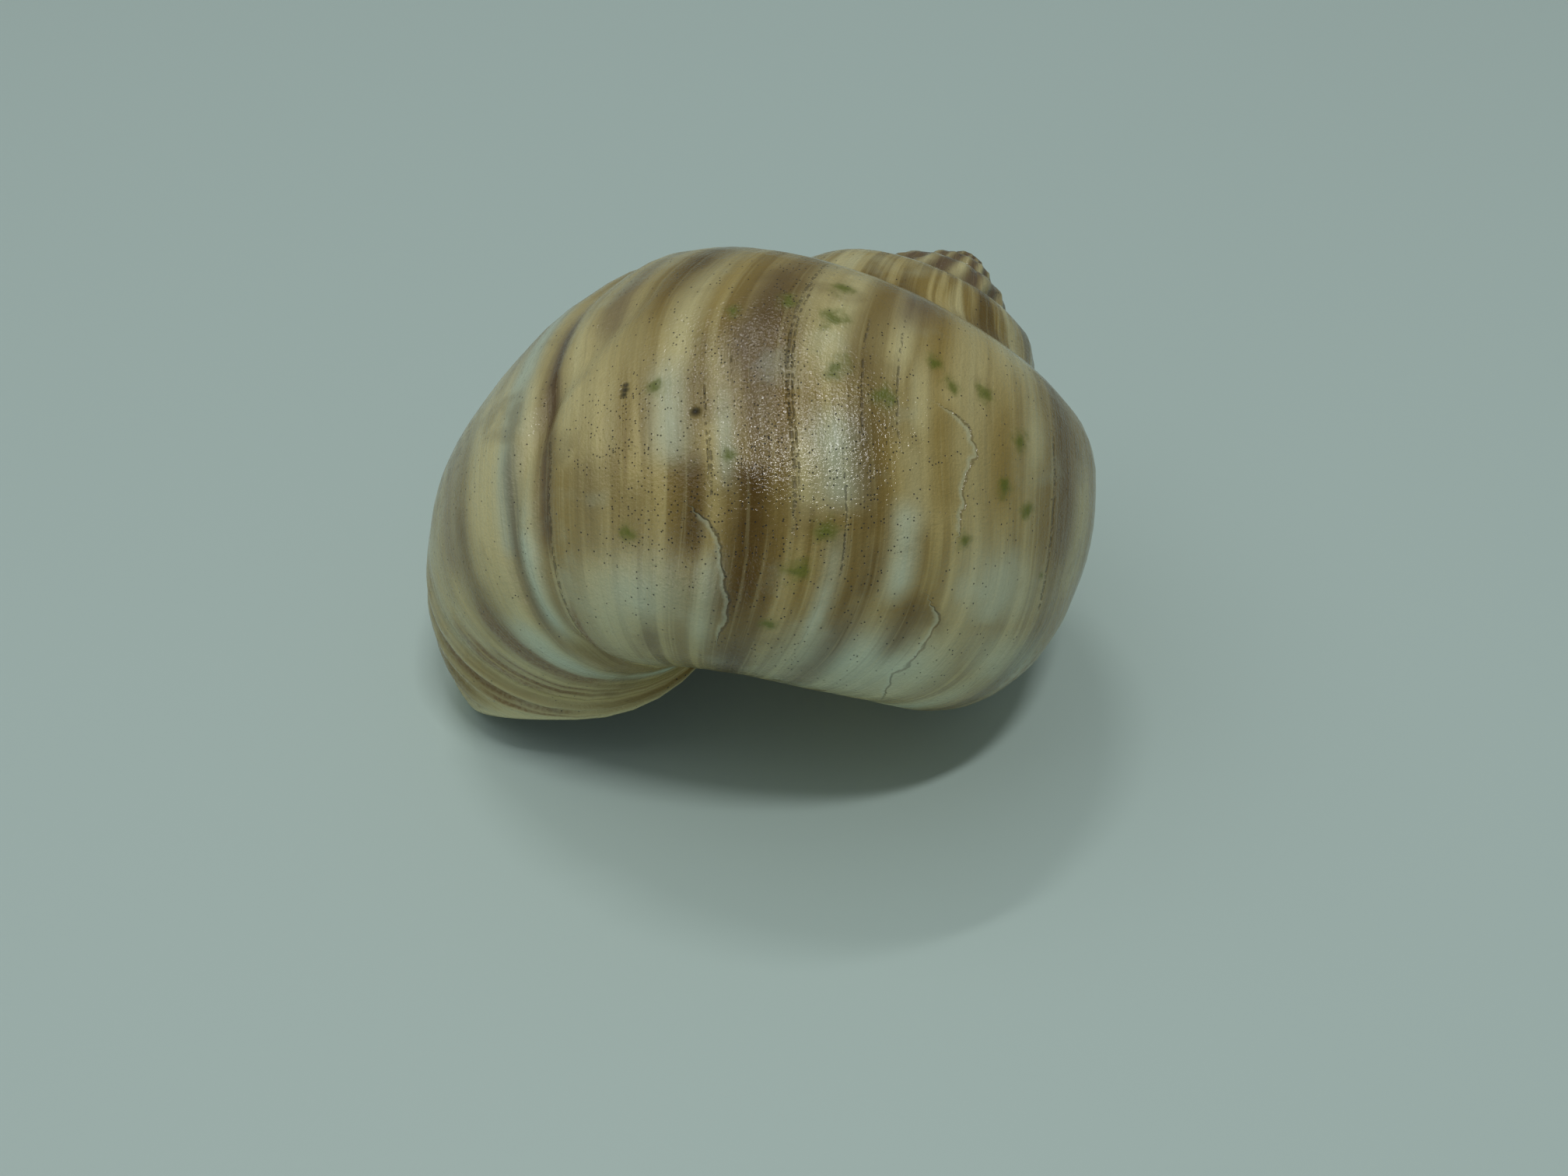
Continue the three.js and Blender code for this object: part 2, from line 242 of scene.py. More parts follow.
# %% The outside
def outside_numbers(row, column):
    """Turned angle, section distance and height, growth angle, place round, whether hollow, and turn."""
    turn = row * FULL_TURN / ROWS_PER_TURN
    lead = column_lead[column]
    angle = turn + lead * smooth((turn + FULL_TURN) / LIP_LEAD_FULL)
    angle += column_lobe[column] * smooth(1 + turn / LOBE_GROWTH)
    if turn <= -FULL_TURN:
        out, up = older_section[column]
    elif turn > SHOULDER_GROWTH - FULL_TURN:
        out, up = lip_section[column]
    else:
        out, up = filled_section(turn, column_around[column])
    return (angle, out, up, angle - lead, column_around[column], 0.0, turn)


def outside_corner(row, column):
    """A corner keeps its own growth angle, also where its vertex is the next turn's."""
    own = outside_numbers(row, column)
    shared_row, shared_column = row, column
    if row <= -ROWS_PER_TURN and column == FLANK_START:
        shared_row, shared_column = row + ROWS_PER_TURN, 0
    elif row <= -ROWS_PER_TURN and column == FLANK_END:
        shared_row, shared_column = row + ROWS_PER_TURN, LAST_COLUMN
    numbers = outside_numbers(shared_row, shared_column)
    return (pattern.vertex((shared_row, shared_column), numbers), own[3], own[4])


def lay_strip(first_row, last_row, first_column, last_column):
    columns = range(first_column, last_column + 1)
    older = [outside_corner(first_row, column) for column in columns]
    for row in range(first_row + 1, last_row + 1):
        newer = [outside_corner(row, column) for column in columns]
        pattern.strip(older, newer)
        older = newer


def middle_numbers(loop, rise):
    """The middle of a small loop, on the axis, raised by a share of the way to the spiral's point."""
    numbers = np.array([pattern.vertices[corner[0]] for corner in loop])
    angle = numbers[:, 0].min()
    height = (TURN_RATIO ** ((numbers[:, 0] - angle) / FULL_TURN) * numbers[:, 2]).mean() * (1 - rise)
    return (angle, 0.0, height, angle, numbers[:, 4].mean(), 0.0, angle)


pattern = Pattern()
lay_strip(-ROWS_PER_TURN, 0, 0, LAST_COLUMN)
lay_strip(LAST_ROW, -ROWS_PER_TURN, 0, FLANK_START)
lay_strip(LAST_ROW, -ROWS_PER_TURN, FLANK_END, LAST_COLUMN)

apex_loop = [outside_corner(LAST_ROW, column) for column in range(FLANK_START, 0, -1)]
apex_loop += [outside_corner(LAST_ROW + step, 0) for step in range(ROWS_PER_TURN)]
pattern.fan(apex_loop, middle_numbers(apex_loop, APEX_RISE))

navel_loop = [outside_corner(LAST_ROW + step, LAST_COLUMN) for step in range(ROWS_PER_TURN, 0, -1)]
navel_loop += [outside_corner(LAST_ROW, column) for column in range(LAST_COLUMN, FLANK_END, -1)]
pattern.fan(navel_loop, middle_numbers(navel_loop, 0.0))
print("the outside has", len(pattern.vertices), "vertices")

# %% [markdown]
# ## The mouth
#
# At the lip the outside turns over into the hollow that the animal lived in. The hollow is the same section
# made smaller by the thickness of the wall, so each point of the rim is moved inwards until it keeps that
# thickness from the whole rim. Where the rim runs over the turn before it, only a thin glaze lies between.
# The hollow then winds up inside the shell by the same rule as the outside, further in than anyone can see.

# %% The rim and the hollow
def mouth_rim():
    rim = []
    for column in range(LAST_COLUMN + 1):
        lead = column_lead[column] + column_lobe[column]
        rim.append((outside_corner(0, column), lead, lip_section[column], LIP_THICKNESS))
    for column in range(FLANK_END - 1, FLANK_START, -1):
        section = older_section[column] / TURN_RATIO
        rim.append((outside_corner(-ROWS_PER_TURN, column), 0.0, section, CALLUS_THICKNESS))
    return rim


rim = mouth_rim()
rim_section = np.array([place[2] for place in rim])
rim_next = np.roll(rim_section, -1, axis=0)
rim_wall = np.array([place[3] for place in rim])
rim_wall = np.maximum(rim_wall, np.roll(rim_wall, -1))


def keeps_wall(point):
    along = rim_next - rim_section
    share = ((point - rim_section) * along).sum(1) / (along * along).sum(1)
    nearest = rim_section + along * np.clip(share, 0, 1)[:, None]
    return bool((np.hypot(*(nearest - point).T) >= rim_wall).all())


WALL_HALVINGS = 24
rim_middle = rim_section.mean(0)
hollow_section = []
for section in rim_section:
    near, far = 0.0, 1.0
    for _ in range(WALL_HALVINGS):
        share = (near + far) / 2
        if keeps_wall(rim_middle + share * (section - rim_middle)):
            near = share
        else:
            far = share
    hollow_section.append(rim_middle + near * (section - rim_middle))
hollow_section = np.array(hollow_section)
print("the mouth is", np.round(np.ptp(hollow_section, axis=0) / MM, 1), "mm wide and high")


def ring(name, turn, lead_share, sections, hollow):
    """One closed ring of the lip or the hollow."""
    corners = []
    for index, (_, lead, _, _) in enumerate(rim):
        angle = turn[index] + lead * lead_share
        around = -index / len(rim) * FULL_TURN
        numbers = (angle, *sections[index], turn[index], around, hollow, turn[index])
        corners.append((pattern.vertex((name, index), numbers), turn[index], around))
    return corners + corners[:1]


rings = [[place[0] for place in rim] + [rim[0][0]]]
thickness = np.hypot(*(rim_section - hollow_section).T)
bulge = np.minimum(thickness / 2 / rim_section[:, 0], LIP_ROUNDING_LIMIT)
for step in range(1, LIP_ROUND_ROWS):
    sweep = step / LIP_ROUND_ROWS * math.pi
    share = (1 - math.cos(sweep)) / 2
    sections = rim_section + share * (hollow_section - rim_section)
    rings.append(ring(("lip", step), bulge * math.sin(sweep), 1.0, sections, 0.5 * share))
for step in range(HOLLOW_ROWS + 1):
    turn = -step / HOLLOW_ROWS * HOLLOW_TURNS * FULL_TURN
    lead_share = float(smooth(1 + turn / LIP_LEAD_FULL))
    rings.append(ring(("hollow", step), np.full(len(rim), turn), lead_share, hollow_section, 1.0))
for first, second in zip(rings, rings[1:]):
    pattern.strip(first, second)
last_turn = -HOLLOW_TURNS * FULL_TURN
pattern.fan(rings[-1][:-1], (last_turn, *rim_middle, last_turn, 0.0, 1.0, last_turn))
print("the pattern has", len(pattern.vertices), "vertices and", len(pattern.faces), "faces")

# %% [markdown]
# ## Winding it up with Geometry Nodes
#
# The pattern becomes a mesh whose vertices all sit at the origin and carry their numbers as attributes. A
# Geometry Nodes tree then winds it: each vertex grows with its turned angle, turns round the axis, and
# finally the whole shell is laid down as it rests. Growth lines are part of the same rule: fine ridges that
# repeat along the growth angle, pushed out along the surface's own normal. Sizes are inputs, so the rule
# can be read and tried out.

# %% The mesh before it is wound
def mesh_from_pattern():
    mesh = bpy.data.meshes.new("shell")
    mesh.from_pydata([(0, 0, 0)] * len(pattern.vertices), [], pattern.faces)
    numbers = np.array(pattern.vertices, dtype=np.float32)
    for index, name in enumerate(("turned", "out", "up", "growth", "around")):
        attribute = mesh.attributes.new(name, "FLOAT", "POINT")
        attribute.data.foreach_set("value", np.ascontiguousarray(numbers[:, index]))
    layer = mesh.uv_layers.new(name="coil")
    corners = np.array(pattern.corners, dtype=np.float32) / FULL_TURN
    layer.data.foreach_set("uv", corners.ravel())
    return mesh


raw_mesh = mesh_from_pattern()
shell = bpy.data.objects.new("shell_surface", raw_mesh)
bpy.context.scene.collection.objects.link(shell)
vertex_numbers = np.array(pattern.vertices)
print("carried numbers:", [attribute.name for attribute in raw_mesh.attributes][:8])


# %% Helpers that keep node trees short
def new_node(tree, kind, inputs=None, **settings):
    node = tree.nodes.new(kind)
    for name, value in settings.items():
        setattr(node, name, value)
    for name, value in (inputs or {}).items():
        if isinstance(value, bpy.types.NodeSocket):
            tree.links.new(value, node.inputs[name])
        else:
            node.inputs[name].default_value = value
    return node


def calculate(tree, operation, first, second=0.0, third=0.0):
    inputs = {0: first, 1: second, 2: third}
    return new_node(tree, "ShaderNodeMath", inputs, operation=operation).outputs[0]


def multiply(tree, first, second):
    return calculate(tree, "MULTIPLY", first, second)


def noise_at(tree, place, scale, detail):
    inputs = {"Vector": place, "Scale": scale, "Detail": detail}
    return new_node(tree, "ShaderNodeTexNoise", inputs).outputs[0]


# %% The winding tree
LINE_CHANGE = 1.3  # how fast growth lines come and go round the section


def winding_tree(material):
    tree = bpy.data.node_groups.new("wind the coil", "GeometryNodeTree")
    sockets = tree.interface
    sockets.new_socket("Geometry", in_out="OUTPUT", socket_type="NodeSocketGeometry")
    sockets.new_socket("Geometry", in_out="INPUT", socket_type="NodeSocketGeometry")
    for name in ("Turn ratio", "Growth line height", "Growth lines per turn"):
        sockets.new_socket(name, in_out="INPUT", socket_type="NodeSocketFloat")
    sockets.new_socket("Laid down", in_out="INPUT", socket_type="NodeSocketVector")
    given = tree.nodes.new("NodeGroupInput").outputs

    def number(name):
        node = new_node(tree, "GeometryNodeInputNamedAttribute", {"Name": name}, data_type="FLOAT")
        return node.outputs["Attribute"]

    turns = calculate(tree, "DIVIDE", number("turned"), FULL_TURN)
    size = calculate(tree, "POWER", given["Turn ratio"], turns)
    out = multiply(tree, size, number("out"))
    east = multiply(tree, out, calculate(tree, "COSINE", number("turned")))
    north = multiply(tree, out, calculate(tree, "SINE", number("turned")))
    south = multiply(tree, north, -1.0)
    height = multiply(tree, size, number("up"))
    place = new_node(tree, "ShaderNodeCombineXYZ", {"X": east, "Y": south, "Z": height}).outputs[0]
    wound = new_node(tree, "GeometryNodeSetPosition", {"Geometry": given["Geometry"], "Position": place})

    along = multiply(tree, number("growth"), 1 / FULL_TURN)
    along = multiply(tree, along, given["Growth lines per turn"])
    across = multiply(tree, number("around"), LINE_CHANGE)
    lines_at = new_node(tree, "ShaderNodeCombineXYZ", {"X": along, "Y": across}).outputs[0]
    waves = noise_at(tree, lines_at, 1.0, 3.0)
    ridge = calculate(tree, "SUBTRACT", waves, 0.5)
    ridge = multiply(tree, ridge, given["Growth line height"])
    ridge = multiply(tree, ridge, number("free"))
    ridge = calculate(tree, "ADD", ridge, number("relief"))
    normal = new_node(tree, "GeometryNodeInputNormal").outputs[0]
    push = new_node(tree, "ShaderNodeVectorMath", {0: normal, "Scale": ridge}, operation="SCALE").outputs[0]
    ridged = new_node(tree, "GeometryNodeSetPosition", {"Geometry": wound.outputs[0], "Offset": push})

    inputs = {"Geometry": ridged.outputs[0], "Rotation": given["Laid down"]}
    laid = new_node(tree, "GeometryNodeTransform", inputs)
    real = new_node(tree, "GeometryNodeRealizeInstances", {"Geometry": laid.outputs[0]})
    finish = new_node(tree, "GeometryNodeSetMaterial", {"Geometry": real.outputs[0], "Material": material})
    new_node(tree, "NodeGroupOutput", {"Geometry": finish.outputs[0]})
    return tree


# %% [markdown]
# ## Colour and gloss
#
# Moon snail shell is a smooth glaze over streaks that follow the growth lines, because the snail changes
# the colour it lays down as the lip moves on. So the materials read two things: the shell's own
# coordinates, which run along and across the coil in the map called "coil", and soft masks painted on the
# vertices further down. Effects that both materials share are node groups with named inputs, each one built
# once.

# %% Short helpers for colours
def mix_colour(tree, factor, first, second):
    inputs = {0: factor, 6: first, 7: second}
    return new_node(tree, "ShaderNodeMix", inputs, data_type="RGBA").outputs[2]


def own_place(tree):
    """The surface's own coordinates, in metres."""
    return new_node(tree, "ShaderNodeTexCoord").outputs["Object"]


def threshold(tree, value, start, end):
    inputs = {0: value, 1: start, 2: end}
    return new_node(tree, "ShaderNodeMapRange", inputs, interpolation_type="SMOOTHSTEP").outputs[0]


def new_group(name, inputs, outputs):
    tree = bpy.data.node_groups.new(name, "ShaderNodeTree")
    for label, kind in inputs.items():
        tree.interface.new_socket(label, in_out="INPUT", socket_type="NodeSocket" + kind)
    for label, kind in outputs.items():
        tree.interface.new_socket(label, in_out="OUTPUT", socket_type="NodeSocket" + kind)
    return tree, tree.nodes.new("NodeGroupInput").outputs


def use_group(tree, group, inputs, output=0):
    node = tree.nodes.new("ShaderNodeGroup")
    node.node_tree = group
    for name, value in inputs.items():
        if isinstance(value, bpy.types.NodeSocket):
            tree.links.new(value, node.inputs[name])
        else:
            node.inputs[name].default_value = value
    return node.outputs[output]


# %% Growth streaks: noise stretched round the section
def growth_streaks_group():
    tree, given = new_group("growth streaks", {"Per turn": "Float", "Across": "Float"}, {"Value": "Float"})
    coil = new_node(tree, "ShaderNodeUVMap", uv_map="coil").outputs[0]
    place = new_node(tree, "ShaderNodeSeparateXYZ", {0: coil})
    along = multiply(tree, place.outputs[0], given["Per turn"])
    across = multiply(tree, place.outputs[1], given["Across"])
    stretched = new_node(tree, "ShaderNodeCombineXYZ", {0: along, 1: across}).outputs[0]
    new_node(tree, "NodeGroupOutput", {"Value": noise_at(tree, stretched, 1.0, 3.0)})
    return tree


# %% A thin broken line along one growth line
CRACK_WANDER = 0.0024  # in turns
CRACK_END = (-0.01, 0.02)  # where a crack fades in, in turns round the section


def growth_crack_group():
    inputs = {name: "Float" for name in ("Growth", "Half width", "Top", "Bottom", "Broken")}
    tree, given = new_group("growth crack", inputs, {"Mask": "Float"})
    coil = new_node(tree, "ShaderNodeUVMap", uv_map="coil").outputs[0]
    place = new_node(tree, "ShaderNodeSeparateXYZ", {0: coil})
    where = own_place(tree)
    wander = noise_at(tree, where, 500.0, 3.0)
    wander = calculate(tree, "MULTIPLY_ADD", wander, CRACK_WANDER, -CRACK_WANDER / 2)
    away = calculate(tree, "SUBTRACT", place.outputs[0], given["Growth"])
    away = calculate(tree, "ABSOLUTE", calculate(tree, "ADD", away, wander))
    line = calculate(tree, "SUBTRACT", 1.0, calculate(tree, "DIVIDE", away, given["Half width"]))
    line = threshold(tree, line, 0.0, 0.8)
    below_top = threshold(tree, calculate(tree, "SUBTRACT", given["Top"], place.outputs[1]), *CRACK_END)
    above_end = threshold(tree, calculate(tree, "SUBTRACT", place.outputs[1], given["Bottom"]), *CRACK_END)
    gaps = noise_at(tree, where, 4200.0, 2.0)
    gaps = multiply(tree, threshold(tree, gaps, 0.58, 0.42), given["Broken"])
    gaps = calculate(tree, "SUBTRACT", 1.0, gaps)
    line = multiply(tree, line, multiply(tree, below_top, above_end))
    new_node(tree, "NodeGroupOutput", {"Mask": multiply(tree, line, gaps)})
    return tree


# %% A round blot with a soft ragged edge
def blot_group():
    inputs = {"Middle": "Vector", "Radius": "Float", "Raggedness": "Float"}
    tree, given = new_group("blot", inputs, {"Mask": "Float"})
    where = own_place(tree)
    ends = {0: where, 1: given["Middle"]}
    apart = new_node(tree, "ShaderNodeVectorMath", ends, operation="DISTANCE").outputs["Value"]
    away = calculate(tree, "DIVIDE", apart, given["Radius"])
    noise = noise_at(tree, where, 1600.0, 5.0)
    ragged = multiply(tree, calculate(tree, "SUBTRACT", noise, 0.5), given["Raggedness"])
    away = calculate(tree, "ADD", away, ragged)
    inside = threshold(tree, away, 1.5, 0.0)
    new_node(tree, "NodeGroupOutput", {"Mask": multiply(tree, inside, inside)})
    return tree


# %% The grain of the surface, as a normal
COARSE_GRAIN = 1400.0  # scales of noise, per metre
FINE_GRAIN = 6500.0
FINE_SHARE = 0.9


def grain_group():
    inputs = {"Height": "Float", "Grain": "Float"}
    tree, given = new_group("grain", inputs, {"Normal": "Vector"})
    where = own_place(tree)
    coarse = noise_at(tree, where, COARSE_GRAIN, 4.0)
    fine = noise_at(tree, where, FINE_GRAIN, 2.0)
    grain = calculate(tree, "ADD", coarse, multiply(tree, fine, FINE_SHARE))
    height = calculate(tree, "ADD", given["Height"], multiply(tree, grain, given["Grain"]))
    bump = new_node(tree, "ShaderNodeBump", {"Height": height, "Strength": 1.0, "Distance": 1.0})
    new_node(tree, "NodeGroupOutput", {"Normal": bump.outputs[0]})
    return tree


growth_streaks = growth_streaks_group()
growth_crack = growth_crack_group()
blot = blot_group()
grain = grain_group()
print("shared groups:", growth_streaks.name, growth_crack.name, blot.name, grain.name)

# %% The colours of the shell
TAN = (0.300, 0.215, 0.056, 1)
TAN_LIGHT = (0.500, 0.400, 0.150, 1)
GOLD = (0.290, 0.190, 0.028, 1)
BROWN = (0.092, 0.047, 0.001, 1)
DARK = (0.030, 0.022, 0.010, 1)
# cream shell, and also painted bounce light on the lip's front through one wide patch
CREAM_AND_BOUNCE_LIGHT = (0.700, 0.640, 0.330, 1)
# white shell, and also the colour of two painted highlights: a patch on the front and a rim beside the
# flakes' edges
WHITE_AND_HIGHLIGHT = (0.620, 0.700, 0.510, 1)
MAUVE = (0.165, 0.115, 0.062, 1)
ALGAE = (0.115, 0.145, 0.001, 1)
PIT = (0.006, 0.005, 0.003, 1)
RUST = (0.190, 0.090, 0.006, 1)
MOUTH = (0.150, 0.125, 0.070, 1)
MOUTH_PALE = (0.330, 0.310, 0.210, 1)


def mask(tree, name):
    return new_node(tree, "ShaderNodeAttribute", attribute_name=name).outputs["Fac"]


def roughened(tree, value, noise, amount):
    """A painted mask that noise makes stronger and weaker."""
    change = calculate(tree, "MULTIPLY_ADD", noise, 2 * amount, 1 - amount)
    return new_node(tree, "ShaderNodeClamp", {0: multiply(tree, value, change)}).outputs[0]


# %% The colours of the glaze
PAINT_ROUGHNESS = 0.7


def laid_over(tree, colour, layers):
    """Layers of one colour each, given by where they lie and how thickly they cover."""
    for where, cover, paint in layers:
        colour = mix_colour(tree, multiply(tree, where, cover), colour, paint)
    return colour


def glaze_colour(tree, noises, wrinkle_streaks, dark, black, algae, edge, rim):
    """The base, the painted streaks and patches, then dirt, cracks and a painted highlight beside the
    flakes' edges on top.
    """
    fine, middle, broad, cloud = noises
    colour = mix_colour(tree, threshold(tree, middle, 0.42, 0.60), TAN, TAN_LIGHT)
    unseen = mask(tree, "unseen")
    random_brown = multiply(tree, threshold(tree, broad, 0.50, 0.60), unseen)
    random_cream = multiply(tree, threshold(tree, broad, 0.45, 0.37), unseen)
    colour = laid_over(tree, colour, ((random_brown, 0.7, BROWN), (random_cream, 0.7, CREAM_AND_BOUNCE_LIGHT)))
    painted = (
        ("bead_top", CREAM_AND_BOUNCE_LIGHT, middle), ("bead_hollow", MAUVE, middle), ("gold", GOLD, cloud),
        ("cream_and_bounce_light", CREAM_AND_BOUNCE_LIGHT, fine), ("white_and_highlight", WHITE_AND_HIGHLIGHT, cloud), ("mauve", MAUVE, middle), ("brown", BROWN, cloud),
    )
    for name, paint, noise in painted:
        colour = mix_colour(tree, roughened(tree, mask(tree, name), noise, PAINT_ROUGHNESS), colour, paint)
    colour = laid_over(tree, colour, (
        (wrinkle_streaks, 0.8, RUST),
        (threshold(tree, fine, 0.54, 0.70), 0.16, BROWN),
        (threshold(tree, fine, 0.46, 0.32), 0.15, CREAM_AND_BOUNCE_LIGHT),
        (threshold(tree, cloud, 0.56, 0.72), 0.2, WHITE_AND_HIGHLIGHT),
        (threshold(tree, cloud, 0.44, 0.30), 0.3, BROWN),
        (algae, 0.85, ALGAE),
        (dark, 0.50, DARK),
        (black, 0.95, PIT),
        # rim is a painted highlight: a pale line beside each flake's edge
        (rim, 0.35, WHITE_AND_HIGHLIGHT),
        (edge, 0.45, DARK),
    ))
    return mix_colour(tree, mask(tree, "lip"), colour, CREAM_AND_BOUNCE_LIGHT)


SPECKS_PER_METRE = 6200.0
FEWEST_SPECKS = 0.05
MORE_SPECKS = 0.55


def speck_mask(tree, where):
    """Tiny dark specks, close together where the mask called speckled is strong."""
    cells = new_node(tree, "ShaderNodeTexVoronoi", {"Vector": where, "Scale": SPECKS_PER_METRE})
    dots = threshold(tree, cells.outputs["Distance"], 0.34, 0.14)
    chance = new_node(tree, "ShaderNodeSeparateColor", {0: cells.outputs["Color"]}).outputs[0]
    crowd = calculate(tree, "MULTIPLY_ADD", mask(tree, "speckled"), MORE_SPECKS, FEWEST_SPECKS)
    return multiply(tree, dots, calculate(tree, "LESS_THAN", chance, crowd))


def strongest(tree, group, marks):
    """The strongest of several uses of one group, each with its own inputs."""
    total = use_group(tree, group, marks[0])
    for inputs in marks[1:]:
        total = calculate(tree, "MAXIMUM", total, use_group(tree, group, inputs))
    return total


# %% The glaze on the outside
GRAIN_HEIGHT = 0.055 * MM
FLAKE_CHIPS = 1500.0  # scales of noise, per metre
CLOUDS = 260.0


def glaze_nodes(material, crack_marks, wrinkle_marks, algae_marks, pit_marks):
    material.use_nodes = True
    tree = material.node_tree
    shader = tree.nodes["Principled BSDF"]

    fine = use_group(tree, growth_streaks, {"Per turn": 420.0, "Across": 5.0})
    middle = use_group(tree, growth_streaks, {"Per turn": 90.0, "Across": 3.0})
    broad = use_group(tree, growth_streaks, {"Per turn": 16.0, "Across": 1.6})
    where = own_place(tree)
    cloud = noise_at(tree, where, CLOUDS, 5.0)

    dark = strongest(tree, growth_crack, crack_marks)
    holes = strongest(tree, blot, pit_marks)
    black = calculate(tree, "MAXIMUM", speck_mask(tree, where), holes)
    algae = strongest(tree, blot, algae_marks)
    chips = noise_at(tree, where, FLAKE_CHIPS, 3.0)
    jagged = calculate(tree, "MULTIPLY_ADD", chips, 0.5, -0.25)
    flake = calculate(tree, "ADD", mask(tree, "flake"), jagged)
    near_flake = mask(tree, "near_flake")
    edge = threshold(tree, calculate(tree, "ABSOLUTE", flake), 0.09, 0.02)
    edge = multiply(tree, edge, near_flake)
    # A pale rim beside a flake's edge: a painted highlight.
    rim = multiply(tree, threshold(tree, flake, -0.02, -0.08), threshold(tree, flake, -0.35, -0.12))
    rim = multiply(tree, rim, near_flake)
    wrinkle_streaks = strongest(tree, growth_crack, wrinkle_marks)
    noises = (fine, middle, broad, cloud)
    colour = glaze_colour(tree, noises, wrinkle_streaks, dark, black, algae, edge, rim)
    tree.links.new(colour, shader.inputs["Base Color"])

    step = multiply(tree, threshold(tree, flake, -0.08, 0.08), near_flake)
    height = multiply(tree, fine, 0.030 * MM)
    depths = ((middle, 0.05), (dark, -0.05), (black, -0.03), (holes, -0.25), (step, 0.07), (algae, 0.01))
    for value, depth in depths:
        height = calculate(tree, "MULTIPLY_ADD", value, depth * MM, height)
    normal = use_group(tree, grain, {"Height": height, "Grain": GRAIN_HEIGHT})
    tree.links.new(normal, shader.inputs["Normal"])
    dull = calculate(tree, "MAXIMUM", calculate(tree, "MAXIMUM", dark, black), algae)
    rough = calculate(tree, "MULTIPLY_ADD", cloud, 0.14, 0.09)
    rough = calculate(tree, "ADD", rough, multiply(tree, dull, 0.30))
    tree.links.new(rough, shader.inputs["Roughness"])
    shader.inputs["IOR"].default_value = 1.5
    shader.inputs["Specular IOR Level"].default_value = 0.60


# %% The inside of the mouth
def mouth_material():
    material = bpy.data.materials.new("mouth_lining")
    material.use_nodes = True
    tree = material.node_tree
    shader = tree.nodes["Principled BSDF"]
    fine = use_group(tree, growth_streaks, {"Per turn": 60.0, "Across": 2.0})
    where = own_place(tree)
    cloud = noise_at(tree, where, 300.0, 5.0)
    colour = mix_colour(tree, threshold(tree, cloud, 0.45, 0.70), MOUTH, MOUTH_PALE)
    colour = laid_over(tree, colour, ((threshold(tree, fine, 0.5, 0.7), 0.4, BROWN),))
    colour = mix_colour(tree, mask(tree, "lip"), colour, CREAM_AND_BOUNCE_LIGHT)
    tree.links.new(colour, shader.inputs["Base Color"])
    height = multiply(tree, fine, 0.06 * MM)
    normal = use_group(tree, grain, {"Height": height, "Grain": 0.012 * MM})
    tree.links.new(normal, shader.inputs["Normal"])
    tree.links.new(calculate(tree, "MULTIPLY_ADD", cloud, 0.2, 0.30), shader.inputs["Roughness"])
    shader.inputs["Coat Weight"].default_value = 0.2
    shader.inputs["Coat Roughness"].default_value = 0.25
    return material


# %% [markdown]
# ## The first winding
#
# To paint the shell you need to know where each vertex will lie, so the tree is run once here with no
# relief. The wound shell is then set into the solid model's box and stood on the same ground.

# %% Wind, and set into the solid's box
GROWTH_LINES_PER_TURN = 150.0
shell_glaze = bpy.data.materials.new("shell_glaze")
mouth_lining = mouth_material()
winding = winding_tree(shell_glaze)


def set_mask(name, values):
    attribute = raw_mesh.attributes.get(name) or raw_mesh.attributes.new(name, "FLOAT", "POINT")
    attribute.data.foreach_set("value", np.ascontiguousarray(values, dtype=np.float32))


def wind_shell(line_height):
    modifier = shell.modifiers.new("wind", "NODES")
    modifier.node_group = winding
    values = {
        "Turn ratio": TURN_RATIO,
        "Growth line height": line_height,
        "Growth lines per turn": GROWTH_LINES_PER_TURN,
        "Laid down": REST_TURNS,
    }
    for item in winding.interface.items_tree:
        if item.in_out == "INPUT" and item.name in values:
            modifier[item.identifier] = values[item.name]
    depsgraph = bpy.context.evaluated_depsgraph_get()
    evaluated = shell.evaluated_get(depsgraph)
    wound = bpy.data.meshes.new_from_object(evaluated, preserve_all_data_layers=True, depsgraph=depsgraph)
    shell.modifiers.remove(modifier)
    return wound


def places_of(mesh):
    flat = np.empty(3 * len(mesh.vertices), dtype=np.float32)
    mesh.vertices.foreach_get("co", flat)
    return flat.reshape(-1, 3).astype(float)


def set_into_box(places):
    """Centre the shell over the origin, keep it inside the solid's box and wear it flat at the ground."""
    span = np.ptp(places, axis=0) - (0, 0, WORN_DEPTH)
    solid_span = np.array(solid_high) - np.array(solid_low)
    scale = min(1.0, (solid_span / span).min())
    middle = (places.max(0) + places.min(0)) / 2
    ground = places[:, 2].min() + WORN_DEPTH / scale
    placed = (places - (middle[0], middle[1], ground)) * scale
    placed[:, 2] = np.maximum(placed[:, 2], 0)
    placed[:, 2] = np.minimum(placed[:, 2], solid_span[2])
    return placed, scale


set_mask("free", np.zeros(len(vertex_numbers)))
set_mask("relief", np.zeros(len(vertex_numbers)))
plain_mesh = wind_shell(0.0)
places, scale = set_into_box(places_of(plain_mesh))
normals = np.empty(3 * len(places), dtype=np.float32)
plain_mesh.vertex_normals.foreach_get("vector", normals)
normals = normals.reshape(-1, 3).astype(float)
growth, around, hollow, turn = vertex_numbers[:, 3:].T
print("the wound shell fits the solid's box at a scale of", round(scale, 4))

# %% [markdown]
# ## Camera
#
# The camera stands where the photographer did: about 11 cm from the shell, looking down at 43 degrees. It
# also serves as a pointer for the painting: a mark seen in the picture is given by its pixel, and a ray
# through that pixel says where on the shell it lies. Marks on the underside use the same camera looking up
# from under the ground, as far below it as the camera is above.

